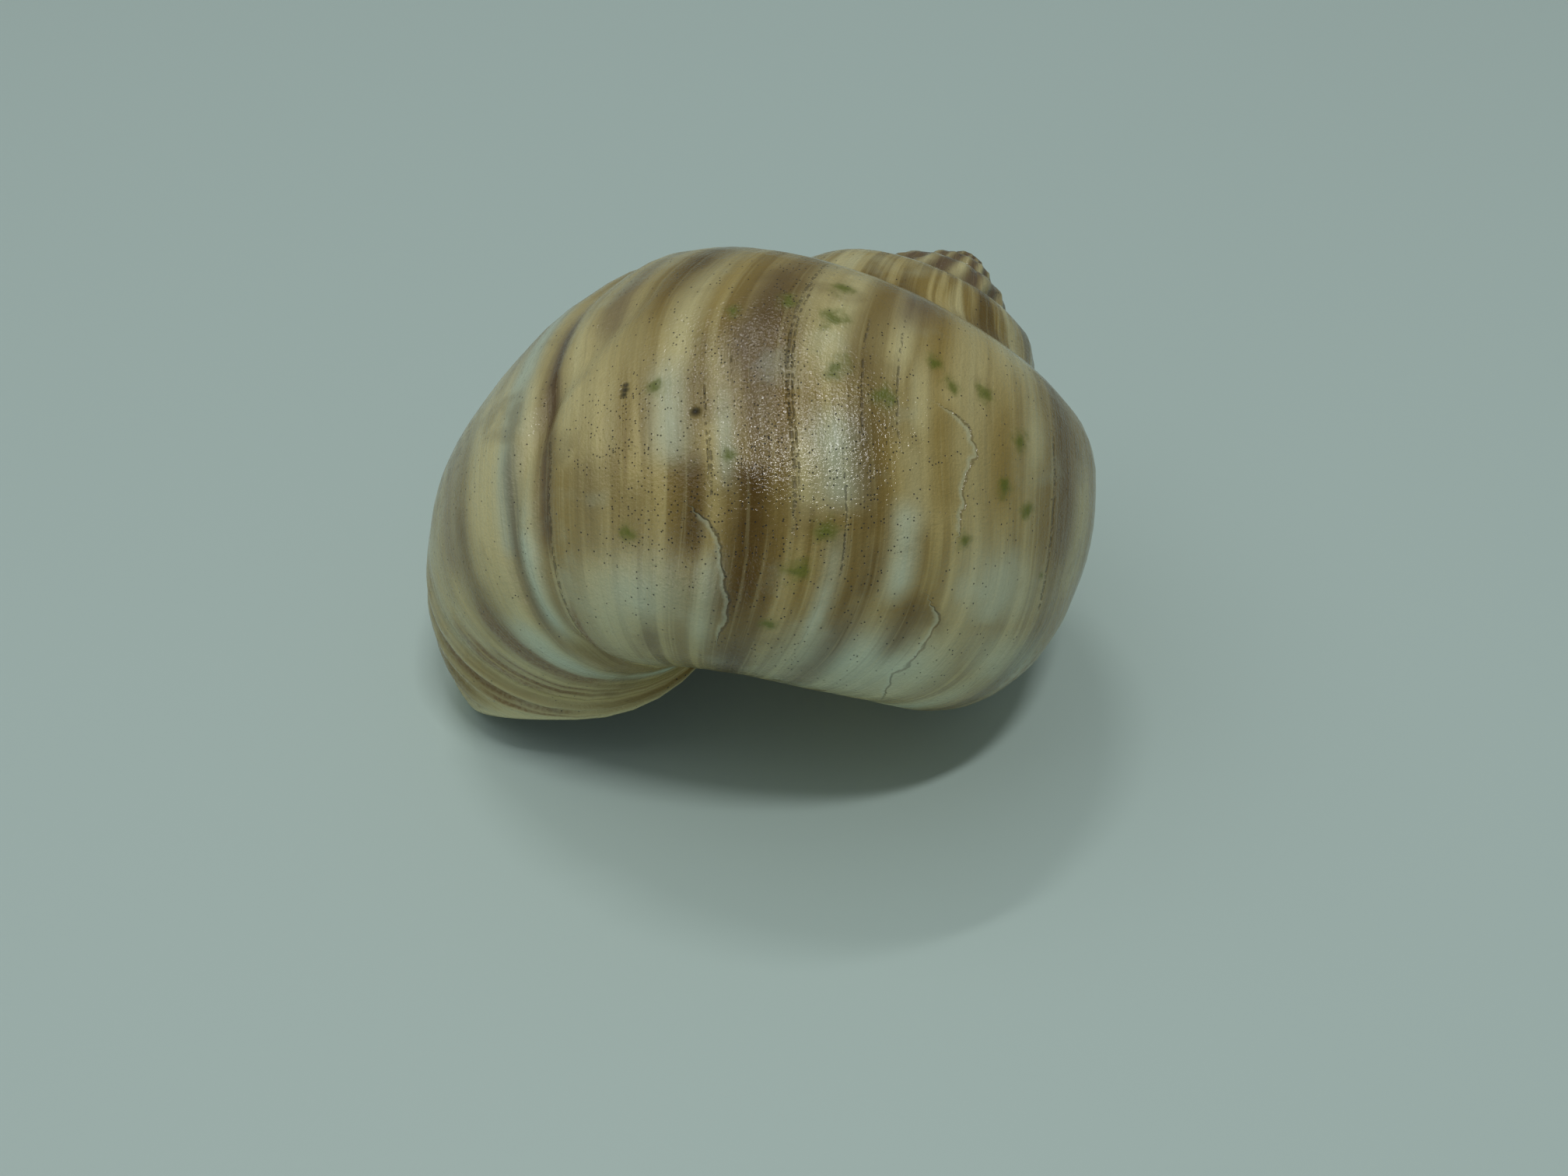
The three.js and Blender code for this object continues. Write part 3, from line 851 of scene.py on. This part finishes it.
# %% The camera
CAMERA_PLACE = Vector((2.10, -74.83, 76.38)) * MM
CAMERA_TURNS = [math.radians(angle) for angle in (46.54, 0.764, -0.277)]
LENS = 39.74
SENSOR = 36.0
PICTURE_WIDTH, PICTURE_HEIGHT = 2016, 1512

camera_data = bpy.data.cameras.new("camera")
camera = bpy.data.objects.new("camera", camera_data)
bpy.context.scene.collection.objects.link(camera)
camera.location = CAMERA_PLACE
camera.rotation_euler = CAMERA_TURNS
camera_data.lens = LENS
camera_data.sensor_width = SENSOR
camera_data.clip_start = 0.005
bpy.context.scene.camera = camera
camera_axes = np.array(camera.rotation_euler.to_matrix())
eye = np.array(CAMERA_PLACE)


surface_tree = BVHTree.FromPolygons(places.tolist(), pattern.faces)
first_corner = np.concatenate([[0], np.cumsum([len(face) for face in pattern.faces])])


CELL = 12  # in pixels
HIDDEN_BEYOND = 1.5 * MM


class Sight:
    """The shell's vertices as the camera sees them, from above or from below."""

    def __init__(self, from_below):
        self.flip = np.array((1, 1, -1 if from_below else 1))
        toward = places * self.flip - eye
        seen = toward @ camera_axes
        pixels = PICTURE_WIDTH * LENS / SENSOR
        self.x = PICTURE_WIDTH / 2 - pixels * seen[:, 0] / seen[:, 2]
        self.y = PICTURE_HEIGHT / 2 + pixels * seen[:, 1] / seen[:, 2]
        self.scale = pixels / -seen[:, 2]
        facing = (toward * (normals * self.flip)).sum(1) < 0
        cells = (self.x // CELL).astype(int) * PICTURE_WIDTH + (self.y // CELL).astype(int)
        order = np.argsort(-seen[:, 2])
        nearest = {}
        for index in order:
            nearest.setdefault(cells[index], -seen[index, 2])
        depth = np.array([nearest[one] for one in cells])
        self.visible = facing & (-seen[:, 2] < depth + HIDDEN_BEYOND) & (hollow == 0)

    def distance(self, x, y):
        """How far each vertex shows from a pixel, in pixels."""
        return np.hypot(self.x - x, self.y - y)

    def point_at(self, x, y):
        """The shell under a pixel: its place, its growth angle and its place round the section."""
        pixels = PICTURE_WIDTH * LENS / SENSOR
        ray = camera_axes @ ((x - PICTURE_WIDTH / 2) / pixels, (PICTURE_HEIGHT / 2 - y) / pixels, -1)
        hit, _, face, _ = surface_tree.ray_cast(Vector(eye * self.flip), Vector(ray * self.flip))
        if hit is None:
            nearest = np.argmin(np.where(self.visible, self.distance(x, y), np.inf))
            return places[nearest], growth[nearest], around[nearest]
        corners = pattern.corners[first_corner[face]:first_corner[face] + len(pattern.faces[face])]
        shares = poly_3d_calc([Vector(places[index]) for index in pattern.faces[face]], hit)
        on_coil = np.array(shares) @ np.array(corners)
        return np.array(hit), on_coil[0], on_coil[1]


above = Sight(from_below=False)
below = Sight(from_below=True)
print("seen from above", int(above.visible.sum()), "vertices, from below", int(below.visible.sum()))

# %% [markdown]
# ## Painting
#
# Streaks and patches are soft masks on the vertices. A streak is given by one pixel on it, half its width,
# and the heights in the picture where it starts and ends. The pixel is turned into a growth angle, so that
# the streak follows the growth line through it. The material then breaks up the edges of these masks with
# noise. Marks that are finer than the mesh, such as blots, pits and cracks, are drawn by the material
# itself: the pointer only says where on the shell each of them lies.

# %% Streaks
UPPER_STREAKS = {
    # x, y, half width, top, bottom, strength
    "brown": (
        (699, 600, 5, 420, 720, 0.6), (760, 655, 26, 590, 720, 0.45), (812, 680, 22, 620, 710, 0.4),
        (904, 490, 12, 420, 545, 0.55), (892, 650, 20, 590, 710, 0.75), (968, 500, 20, 460, 545, 0.55),
        (966, 650, 34, 590, 800, 0.95), (985, 620, 26, 580, 660, 0.5), (966, 780, 30, 740, 900, 0.6),
        (1140, 500, 20, 460, 560, 0.45), (1112, 750, 20, 690, 780, 0.75),
        (1090, 805, 15, 765, 860, 0.75), (1164, 805, 17, 770, 845, 0.8),
    ),
    "cream_and_bounce_light": (
        (602, 630, 14, 480, 760, 0.75), (634, 620, 10, 460, 760, 0.6), (672, 620, 11, 480, 720, 0.7),
        (565, 740, 12, 680, 800, 0.6), (730, 500, 13, 400, 600, 0.8), (782, 520, 14, 470, 590, 0.45),
        (876, 420, 22, 330, 470, 0.85), (908, 380, 8, 320, 410, 0.6), (928, 500, 16, 440, 560, 0.5),
        (1072, 440, 32, 350, 480, 0.9), (1046, 380, 22, 330, 420, 0.6), (1036, 600, 16, 560, 660, 0.5),
        (1160, 440, 18, 380, 480, 0.85), (1182, 500, 14, 460, 560, 0.7),
        (1180, 620, 18, 560, 680, 0.45), (1290, 445, 14, 420, 480, 0.6), (1334, 560, 12, 530, 600, 0.6),
        (1392, 640, 10, 600, 760, 0.6), (690, 815, 12, 770, 850, 0.8), (600, 800, 10, 760, 840, 0.7),
        (660, 905, 14, 890, 960, 0.6),
    ),
    "gold": (
        (776, 440, 10, 400, 470, 0.8), (832, 440, 11, 380, 480, 0.9), (922, 380, 10, 340, 420, 0.7),
        (1010, 500, 22, 460, 540, 0.8), (1125, 400, 16, 350, 470, 0.5), (1134, 600, 24, 540, 700, 0.7),
        (1212, 440, 26, 400, 500, 0.9), (1220, 590, 26, 520, 660, 1.0), (1285, 600, 34, 520, 660, 0.9),
        (1355, 690, 18, 650, 730, 0.7),
    ),
    "mauve": (
        (577, 650, 9, 560, 740, 0.6), (696, 600, 11, 400, 700, 0.95), (800, 380, 12, 340, 430, 0.7),
        (990, 390, 32, 340, 440, 0.7), (955, 440, 26, 400, 470, 0.7), (1185, 390, 22, 350, 420, 0.8),
        (1372, 600, 14, 500, 720, 0.6),
    ),
    "white_and_highlight": (
        (650, 600, 11, 470, 720, 0.95), (668, 500, 11, 400, 560, 0.95), (678, 740, 14, 680, 820, 0.9),
        (860, 545, 24, 470, 590, 0.65), (932, 560, 12, 510, 620, 0.6), (1080, 590, 30, 530, 650, 0.6),
        (1164, 690, 18, 650, 770, 0.75), (1052, 790, 14, 740, 850, 0.55),
        (1072, 730, 14, 690, 780, 0.45), (908, 760, 22, 715, 830, 0.55), (730, 855, 12, 800, 890, 0.8),
    ),
}
LOWER_STREAKS = {
    # x, y, half width, reach, strength
    "brown": (
        (960, 1260, 26, 110, 0.8), (1050, 1290, 20, 110, 0.7), (1240, 1150, 30, 120, 0.5),
        (930, 1130, 12, 60, 0.9), (700, 1180, 14, 90, 0.7), (740, 1250, 12, 80, 0.7),
    ),
    "cream_and_bounce_light": (
        (1120, 1230, 30, 130, 0.7), (860, 1200, 24, 120, 0.6),
    ),
    "gold": (
        (1275, 1100, 60, 170, 1.0),
    ),
    "white_and_highlight": (
        (1120, 1150, 50, 120, 0.7),
    ),
}
PATCHES = {
    # x, y, half width, half height, strength
    "brown": (
        (965, 700, 40, 70, 0.6), (1100, 790, 30, 40, 0.3), (800, 850, 60, 25, 0.25),
    ),
    "cream_and_bounce_light": (
        (615, 600, 65, 190, 0.9), (735, 500, 34, 110, 0.65), (680, 860, 60, 50, 0.45),
        # the wide patch at 670, 925 on the lip's front is partly cream shell and partly painted light, as if
        # bounced up from the ground
        (1120, 440, 80, 50, 0.35), (670, 925, 120, 30, 1.0), (820, 440, 40, 60, 0.35),
    ),
    "gold": (
        (1260, 600, 70, 90, 0.7), (1390, 620, 40, 120, 0.6),
    ),
    "speckled": (
        (815, 560, 70, 70, 0.7), (870, 650, 80, 80, 0.85), (990, 640, 60, 180, 0.6),
        (1090, 640, 90, 150, 0.5), (1014, 480, 14, 160, 1.0), (900, 450, 60, 60, 0.35),
    ),
    "white_and_highlight": (
        # the patch at 1100, 850 is a painted highlight: a band of gloss laid on in white
        (815, 765, 75, 55, 0.6), (1290, 755, 50, 50, 0.6), (1100, 850, 110, 40, 0.95),
        (1290, 850, 60, 45, 0.5), (665, 700, 20, 80, 0.4),
    ),
}
FADE = 50.0  # in pixels, at the ends of a streak
NARROWEST = 0.012  # half widths of a streak, as growth angles
WIDEST = 0.1
MASK_NAMES = ("gold", "brown", "cream_and_bounce_light", "white_and_highlight", "mauve", "speckled")
masks = {name: np.zeros(len(places)) for name in MASK_NAMES}


def bump(distance, half_width):
    return np.exp(-(distance / half_width) ** 2)


def growth_band(sight, x, y, half_width):
    """How near each vertex is to the growth line through a pixel, 1 on it and falling to the half width."""
    here = sight.point_at(x, y)[1]
    steps = [NARROWEST]
    for step_x, step_y in ((-1, 0), (1, 0), (0, -1), (0, 1)):
        beside = sight.point_at(x + step_x * half_width, y + step_y * half_width)[1]
        steps.append(min(abs(beside - here), WIDEST))
    return bump(growth - here, max(steps))


def add_to(name, values):
    masks[name] = np.maximum(masks[name], values)


def rows_of(table):
    return [(name, *row) for name, marks in table.items() for row in marks]


for name, x, y, half_width, top, bottom, strength in rows_of(UPPER_STREAKS):
    ends = smooth((above.y - top) / FADE + 0.5) * smooth((bottom - above.y) / FADE + 0.5)
    add_to(name, strength * growth_band(above, x, y, half_width) * ends * (turn > -FULL_TURN))
for name, x, y, half_width, reach, strength in rows_of(LOWER_STREAKS):
    add_to(name, strength * growth_band(below, x, y, half_width) * bump(below.distance(x, y), reach))
for name, x, y, half_width, half_height, strength in rows_of(PATCHES):
    near = bump(np.hypot((above.x - x) / half_width, (above.y - y) / half_height), 1.0)
    add_to(name, strength * near * above.visible)
streak_count = len(rows_of(UPPER_STREAKS)) + len(rows_of(LOWER_STREAKS))
print("painted", streak_count, "streaks and", len(rows_of(PATCHES)), "patches")

# %% Green blots and pits
ALGAE_SPOTS = (
    # x, y, radius in pixels
    (1083, 371, 20), (1072, 410, 26), (1075, 472, 27), (1136, 510, 23), (1201, 465, 16), (1225, 495, 16),
    (1268, 505, 19), (1312, 566, 19), (1292, 627, 17), (1321, 657, 15), (1239, 693, 15), (1062, 682, 23),
    (1025, 734, 24), (988, 802, 14), (1339, 739, 8), (842, 498, 20), (942, 400, 15), (1013, 388, 18),
    (806, 684, 16), (938, 585, 12), (1312, 880, 7),
)
BLACK_PITS = ((803, 495, 6), (802, 501, 7), (801, 507, 6), (894, 529, 9))


def blot_marks(spots, raggedness):
    marks = []
    for x, y, radius in spots:
        place, _, _ = above.point_at(x, y)
        size = radius * np.linalg.norm(place - eye) * SENSOR / LENS / PICTURE_WIDTH
        marks.append({"Middle": place, "Radius": size, "Raggedness": raggedness})
    return marks


algae_marks = blot_marks(ALGAE_SPOTS, 1.9)
pit_marks = blot_marks(BLACK_PITS, 0.5)
print("placed", len(algae_marks), "green blots and", len(pit_marks), "pits")

# %% [markdown]
# A flake is a place where the top layer has chipped away, with a sharp edge along one side. Its mask is a
# signed distance to that edge in millimetres, so that the material can draw a step which is much finer than
# the mesh. Along the edge the material draws a dark line, and beside it a pale rim that is a painted
# highlight.

# %% Flakes
FLAKE_EDGES = (
    ((1229, 531), (1246, 548), (1256, 570), (1257, 594), (1245, 606), (1239, 628), (1242, 654), (1234, 679)),
    ((903, 664), (920, 680), (927, 707), (931, 739), (937, 771), (937, 793), (928, 812)),
    ((1203, 785), (1211, 798), (1195, 822), (1176, 849), (1149, 868), (1139, 889)),
)
FLAKE_FADE = 0.9
FLAKES_FROM = -4.5


def signed_distance(edge):
    """Distance to a line of pixels in millimetres, positive on its right-hand side."""
    best = np.full(len(places), 1e9)
    signed = np.zeros(len(places))
    for (x0, y0), (x1, y1) in zip(edge, edge[1:]):
        length = math.hypot(x1 - x0, y1 - y0)
        share = ((above.x - x0) * (x1 - x0) + (above.y - y0) * (y1 - y0)) / length ** 2
        share = np.clip(share, 0, 1)
        away = np.hypot(above.x - x0 - share * (x1 - x0), above.y - y0 - share * (y1 - y0))
        side = np.sign((x1 - x0) * (above.y - y0) - (y1 - y0) * (above.x - x0))
        closer = away < best
        best = np.where(closer, away, best)
        signed = np.where(closer, -side * away, signed)
    return signed / above.scale / MM


masks["flake"] = np.ones(len(places))
masks["near_flake"] = np.zeros(len(places))
on_front = (hollow == 0) & (turn > FLAKES_FROM)
for edge in FLAKE_EDGES:
    signed = signed_distance(edge)
    nearness = bump(signed, FLAKE_FADE) * on_front
    closer = nearness > masks["near_flake"]
    masks["flake"] = np.where(closer, signed, masks["flake"])
    masks["near_flake"] = np.maximum(masks["near_flake"], nearness)
print("vertices beside a flake's edge:", int((masks["near_flake"] > 0.5).sum()))

# %% Fine cracks along growth lines
CRACKS = (
    # x, y, top, bottom, half width in pixels
    (1108, 480, 400, 560, 2.5), (1155, 490, 412, 570, 2.5), (940, 467, 435, 500, 2.5),
    (915, 600, 540, 660, 2.5), (1014, 520, 330, 690, 3.5), (1019, 500, 360, 640, 2.0),
    (704, 660, 560, 790, 3.0), (1089, 642, 560, 760, 2.0), (1354, 660, 560, 800, 2.0),
    (908, 540, 480, 620, 2.0), (715, 745, 700, 860, 2.5),
)
WRINKLE_STREAKS = (
    (640, 812, 770, 880, 9), (672, 838, 775, 890, 9), (703, 853, 800, 890, 8), (655, 860, 810, 900, 6),
    (618, 838, 800, 890, 6), (745, 805, 775, 840, 8), (690, 870, 840, 900, 4), (600, 860, 820, 920, 5),
    (640, 895, 880, 920, 4),
)


def line_marks(lines, broken):
    marks = []
    for x, y, top, bottom, half_width in lines:
        _, here, _ = above.point_at(x, y)
        _, beside, _ = above.point_at(x + half_width, y)
        on_line = above.visible & (np.abs(growth - here) < 0.02)
        upper = around[on_line][np.argmin(np.abs(above.y[on_line] - top))]
        lower = around[on_line][np.argmin(np.abs(above.y[on_line] - bottom))]
        marks.append({"Growth": here / FULL_TURN, "Half width": abs(beside - here) / FULL_TURN,
                      "Top": upper / FULL_TURN, "Bottom": lower / FULL_TURN, "Broken": broken})
    return marks


crack_marks = line_marks(CRACKS, 1.0)
wrinkle_marks = line_marks(WRINKLE_STREAKS, 0.3)
glaze_nodes(shell_glaze, crack_marks, wrinkle_marks, algae_marks, pit_marks)
print("first crack, in turns:", {name: round(value, 4) for name, value in crack_marks[0].items()})

# %% [markdown]
# ## Relief
#
# Marks deep enough to change the outline are real vertices: the groove where growth stopped for a season,
# the wrinkles near the lip, the gouge on the base and the worn bumps of the spire. The relief is a height
# in metres along the surface's own normal, and it fades to nothing at every seam and at the lip.

# %% Heights
REST_MARK_ANGLE = -1.0
REST_MARK_WIDTH = 0.05
REST_MARK_DEPTH = 0.3 * MM
WRINKLE_HEIGHT = 0.22 * MM
WRINKLE_SPACING = 0.16
WRINKLE_REACH = 0.5
WRINKLE_TOP = -0.5
WRINKLE_FADE = 0.8
RELIEF_FADE = 0.5
LIP_FADE = 0.12
WEAR_DEPTH = 0.7 * MM
WEAR_TURNS_BACK = 1.4
WEAR_FADE = 2.0
WEAR_BUMPS = 13
WEAR_LEAN = 3
GOUGE = ((745, 1240), (885, 1170))
GOUGE_DEPTH = 0.35 * MM
GOUGE_WIDTH = 14  # half of it, in pixels
GOUGE_SURE = 20
GOUGE_FROM = -4
WAVES = (170, 520)  # scales of noise, per metre
CRUMBS = 1300
WAVINESS = 0.10 * MM
EROSION = 0.35 * MM
EROSION_FROM = -1.9 * FULL_TURN
EROSION_FADE = 1.5

outside = (hollow == 0).astype(float)
free = smooth((UPPER_SEAM - around) / RELIEF_FADE) * smooth((around - LOWER_SEAM) / RELIEF_FADE)
free = free * outside * smooth(-turn / LIP_FADE)
mark = -REST_MARK_DEPTH * bump(growth - REST_MARK_ANGLE, REST_MARK_WIDTH)
wrinkles = WRINKLE_HEIGHT * np.cos(growth / WRINKLE_SPACING * FULL_TURN)
wrinkles = wrinkles * smooth((WRINKLE_TOP - around) / WRINKLE_FADE) * smooth(1 + growth / WRINKLE_REACH)
bumps = np.cos(WEAR_BUMPS * growth + WEAR_LEAN * around)
spire = smooth(-(growth + WEAR_TURNS_BACK * FULL_TURN) / WEAR_FADE)
worn = (bumps - 1) / 2 * WEAR_DEPTH * TURN_RATIO ** (turn / FULL_TURN) * spire

(x0, y0), (x1, y1) = GOUGE
share = ((below.x - x0) * (x1 - x0) + (below.y - y0) * (y1 - y0)) / ((x1 - x0) ** 2 + (y1 - y0) ** 2)
share = np.clip(share, 0, 1)
from_gouge = np.hypot(below.x - x0 - share * (x1 - x0), below.y - y0 - share * (y1 - y0))
near_gouge = below.visible | (from_gouge < GOUGE_SURE)
gouge = -GOUGE_DEPTH * bump(from_gouge, GOUGE_WIDTH) * (turn > GOUGE_FROM) * near_gouge


def noise_on_shell(scale):
    return np.array([noise.noise(Vector(place) * scale) for place in places])


waves = noise_on_shell(WAVES[0]) + 0.4 * noise_on_shell(WAVES[1])
crumbs = noise_on_shell(CRUMBS)
erosion = EROSION * np.minimum(crumbs + waves, 0.1) * smooth((EROSION_FROM - turn) / EROSION_FADE)
bead = (1 + bumps) / 2 * (0.6 + 0.8 * waves)
masks["bead_top"] = np.clip(spire * outside * bead, 0, 1)
masks["bead_hollow"] = np.clip(spire * outside * (1 - bead), 0, 1)
relief = free * (mark + wrinkles + worn + gouge + WAVINESS * waves + erosion)
set_mask("free", free)
set_mask("relief", relief)

PAINTED_FROM = -3.5  # growth angle of the last streak that the picture shows
masks["unseen"] = 0.15 + 0.85 * smooth((PAINTED_FROM - growth) / 0.6)
masks["lip"] = np.where(hollow > 0, smooth(1 + turn / 0.10), bump(turn, 0.03))
for name, values in masks.items():
    set_mask(name, values)
print("relief from", round(relief.min() / MM, 2), "to", round(relief.max() / MM, 2), "mm")

# %% The finished shell
GROWTH_LINE_HEIGHT = 0.07 * MM

shell_mesh = wind_shell(GROWTH_LINE_HEIGHT)
plain_places = places
places, scale = set_into_box(places_of(shell_mesh))
shell_mesh.vertices.foreach_set("co", places.astype(np.float32).ravel())
shell_mesh.materials.append(mouth_lining)
inside_mouth = np.array([hollow[face].min() == 1 for face in pattern.faces])
shell_mesh.polygons.foreach_set("material_index", inside_mouth.astype(np.int32))
shell_mesh.polygons.foreach_set("use_smooth", np.ones(len(pattern.faces), dtype=bool))
shell_mesh.update()
shell.data = shell_mesh
bpy.data.meshes.remove(raw_mesh)
bpy.data.meshes.remove(plain_mesh)

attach(shell, "root")
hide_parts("shell")
print("the shell has", len(shell_mesh.polygons), "faces, at a scale of", round(scale, 4))

# %% [markdown]
# ## Floor and light
#
# The floor is plain and pale. Three narrow lights are placed by their reflections: for a point of the shell
# where the gloss shows in the picture, the light goes where a ray from the camera would bounce to. A big
# weak light, a low one in front and a pale sky fill in the rest.

# %% Floor
floor_mesh = bpy.data.meshes.new("floor")
HALF_FLOOR = 3.0
floor_corners = [(-HALF_FLOOR, -HALF_FLOOR, 0), (HALF_FLOOR, -HALF_FLOOR, 0), (HALF_FLOOR, HALF_FLOOR, 0),
                 (-HALF_FLOOR, HALF_FLOOR, 0)]
floor_mesh.from_pydata(floor_corners, [], [(0, 1, 2, 3)])
floor = bpy.data.objects.new("floor", floor_mesh)
bpy.context.scene.collection.objects.link(floor)
floor_material = bpy.data.materials.new("pale_floor")
floor_material.use_nodes = True
floor_shader = floor_material.node_tree.nodes["Principled BSDF"]
floor_shader.inputs["Base Color"].default_value = (0.56, 0.70, 0.66, 1)
floor_shader.inputs["Roughness"].default_value = 0.5
floor_mesh.materials.append(floor_material)


# %% Lights
def area_light(name, place, target, width, depth, power):
    data = bpy.data.lights.new(name, "AREA")
    data.shape = "RECTANGLE"
    data.size, data.size_y = width, depth
    data.energy = power
    light = bpy.data.objects.new(name, data)
    light.location = place
    light.rotation_euler = (Vector(target) - Vector(place)).to_track_quat("-Z", "Y").to_euler()
    bpy.context.scene.collection.objects.link(light)


def reflected_place(x, y, distance):
    """Where the camera's ray through a pixel goes on to after it bounces off the shell."""
    here, _, _ = above.point_at(x, y)
    to_eye = (eye - here) / np.linalg.norm(eye - here)
    facing = normals[np.argmin(np.linalg.norm(plain_places - here, axis=1))]
    bounce = 2 * (facing @ to_eye) * facing - to_eye
    return here + distance * bounce


MIDDLE = (0, 0, 0.012)
for name, x, y, width, depth, power in (
    ("window_high", 975, 445, 0.12, 0.016, 0.24),
    ("window_low", 1020, 575, 0.11, 0.026, 0.62),
    ("window_front", 1110, 850, 0.12, 0.020, 0.30),
):
    area_light(name, reflected_place(x, y, 0.5), MIDDLE, width, depth, power)
area_light("big_soft", (-0.5, 0.0, 0.95), MIDDLE, 0.9, 0.9, 1.55)
area_light("low_fill", (-0.45, -0.75, 0.16), MIDDLE, 0.3, 0.3, 0.30)
world = bpy.data.worlds.new("pale_sky")
world.use_nodes = True
world.node_tree.nodes["Background"].inputs["Color"].default_value = (0.80, 0.90, 0.90, 1)
world.node_tree.nodes["Background"].inputs["Strength"].default_value = 0.19
bpy.context.scene.world = world
bpy.context.scene.view_settings.view_transform = "Standard"
print("lights:", [light.name for light in bpy.data.lights])
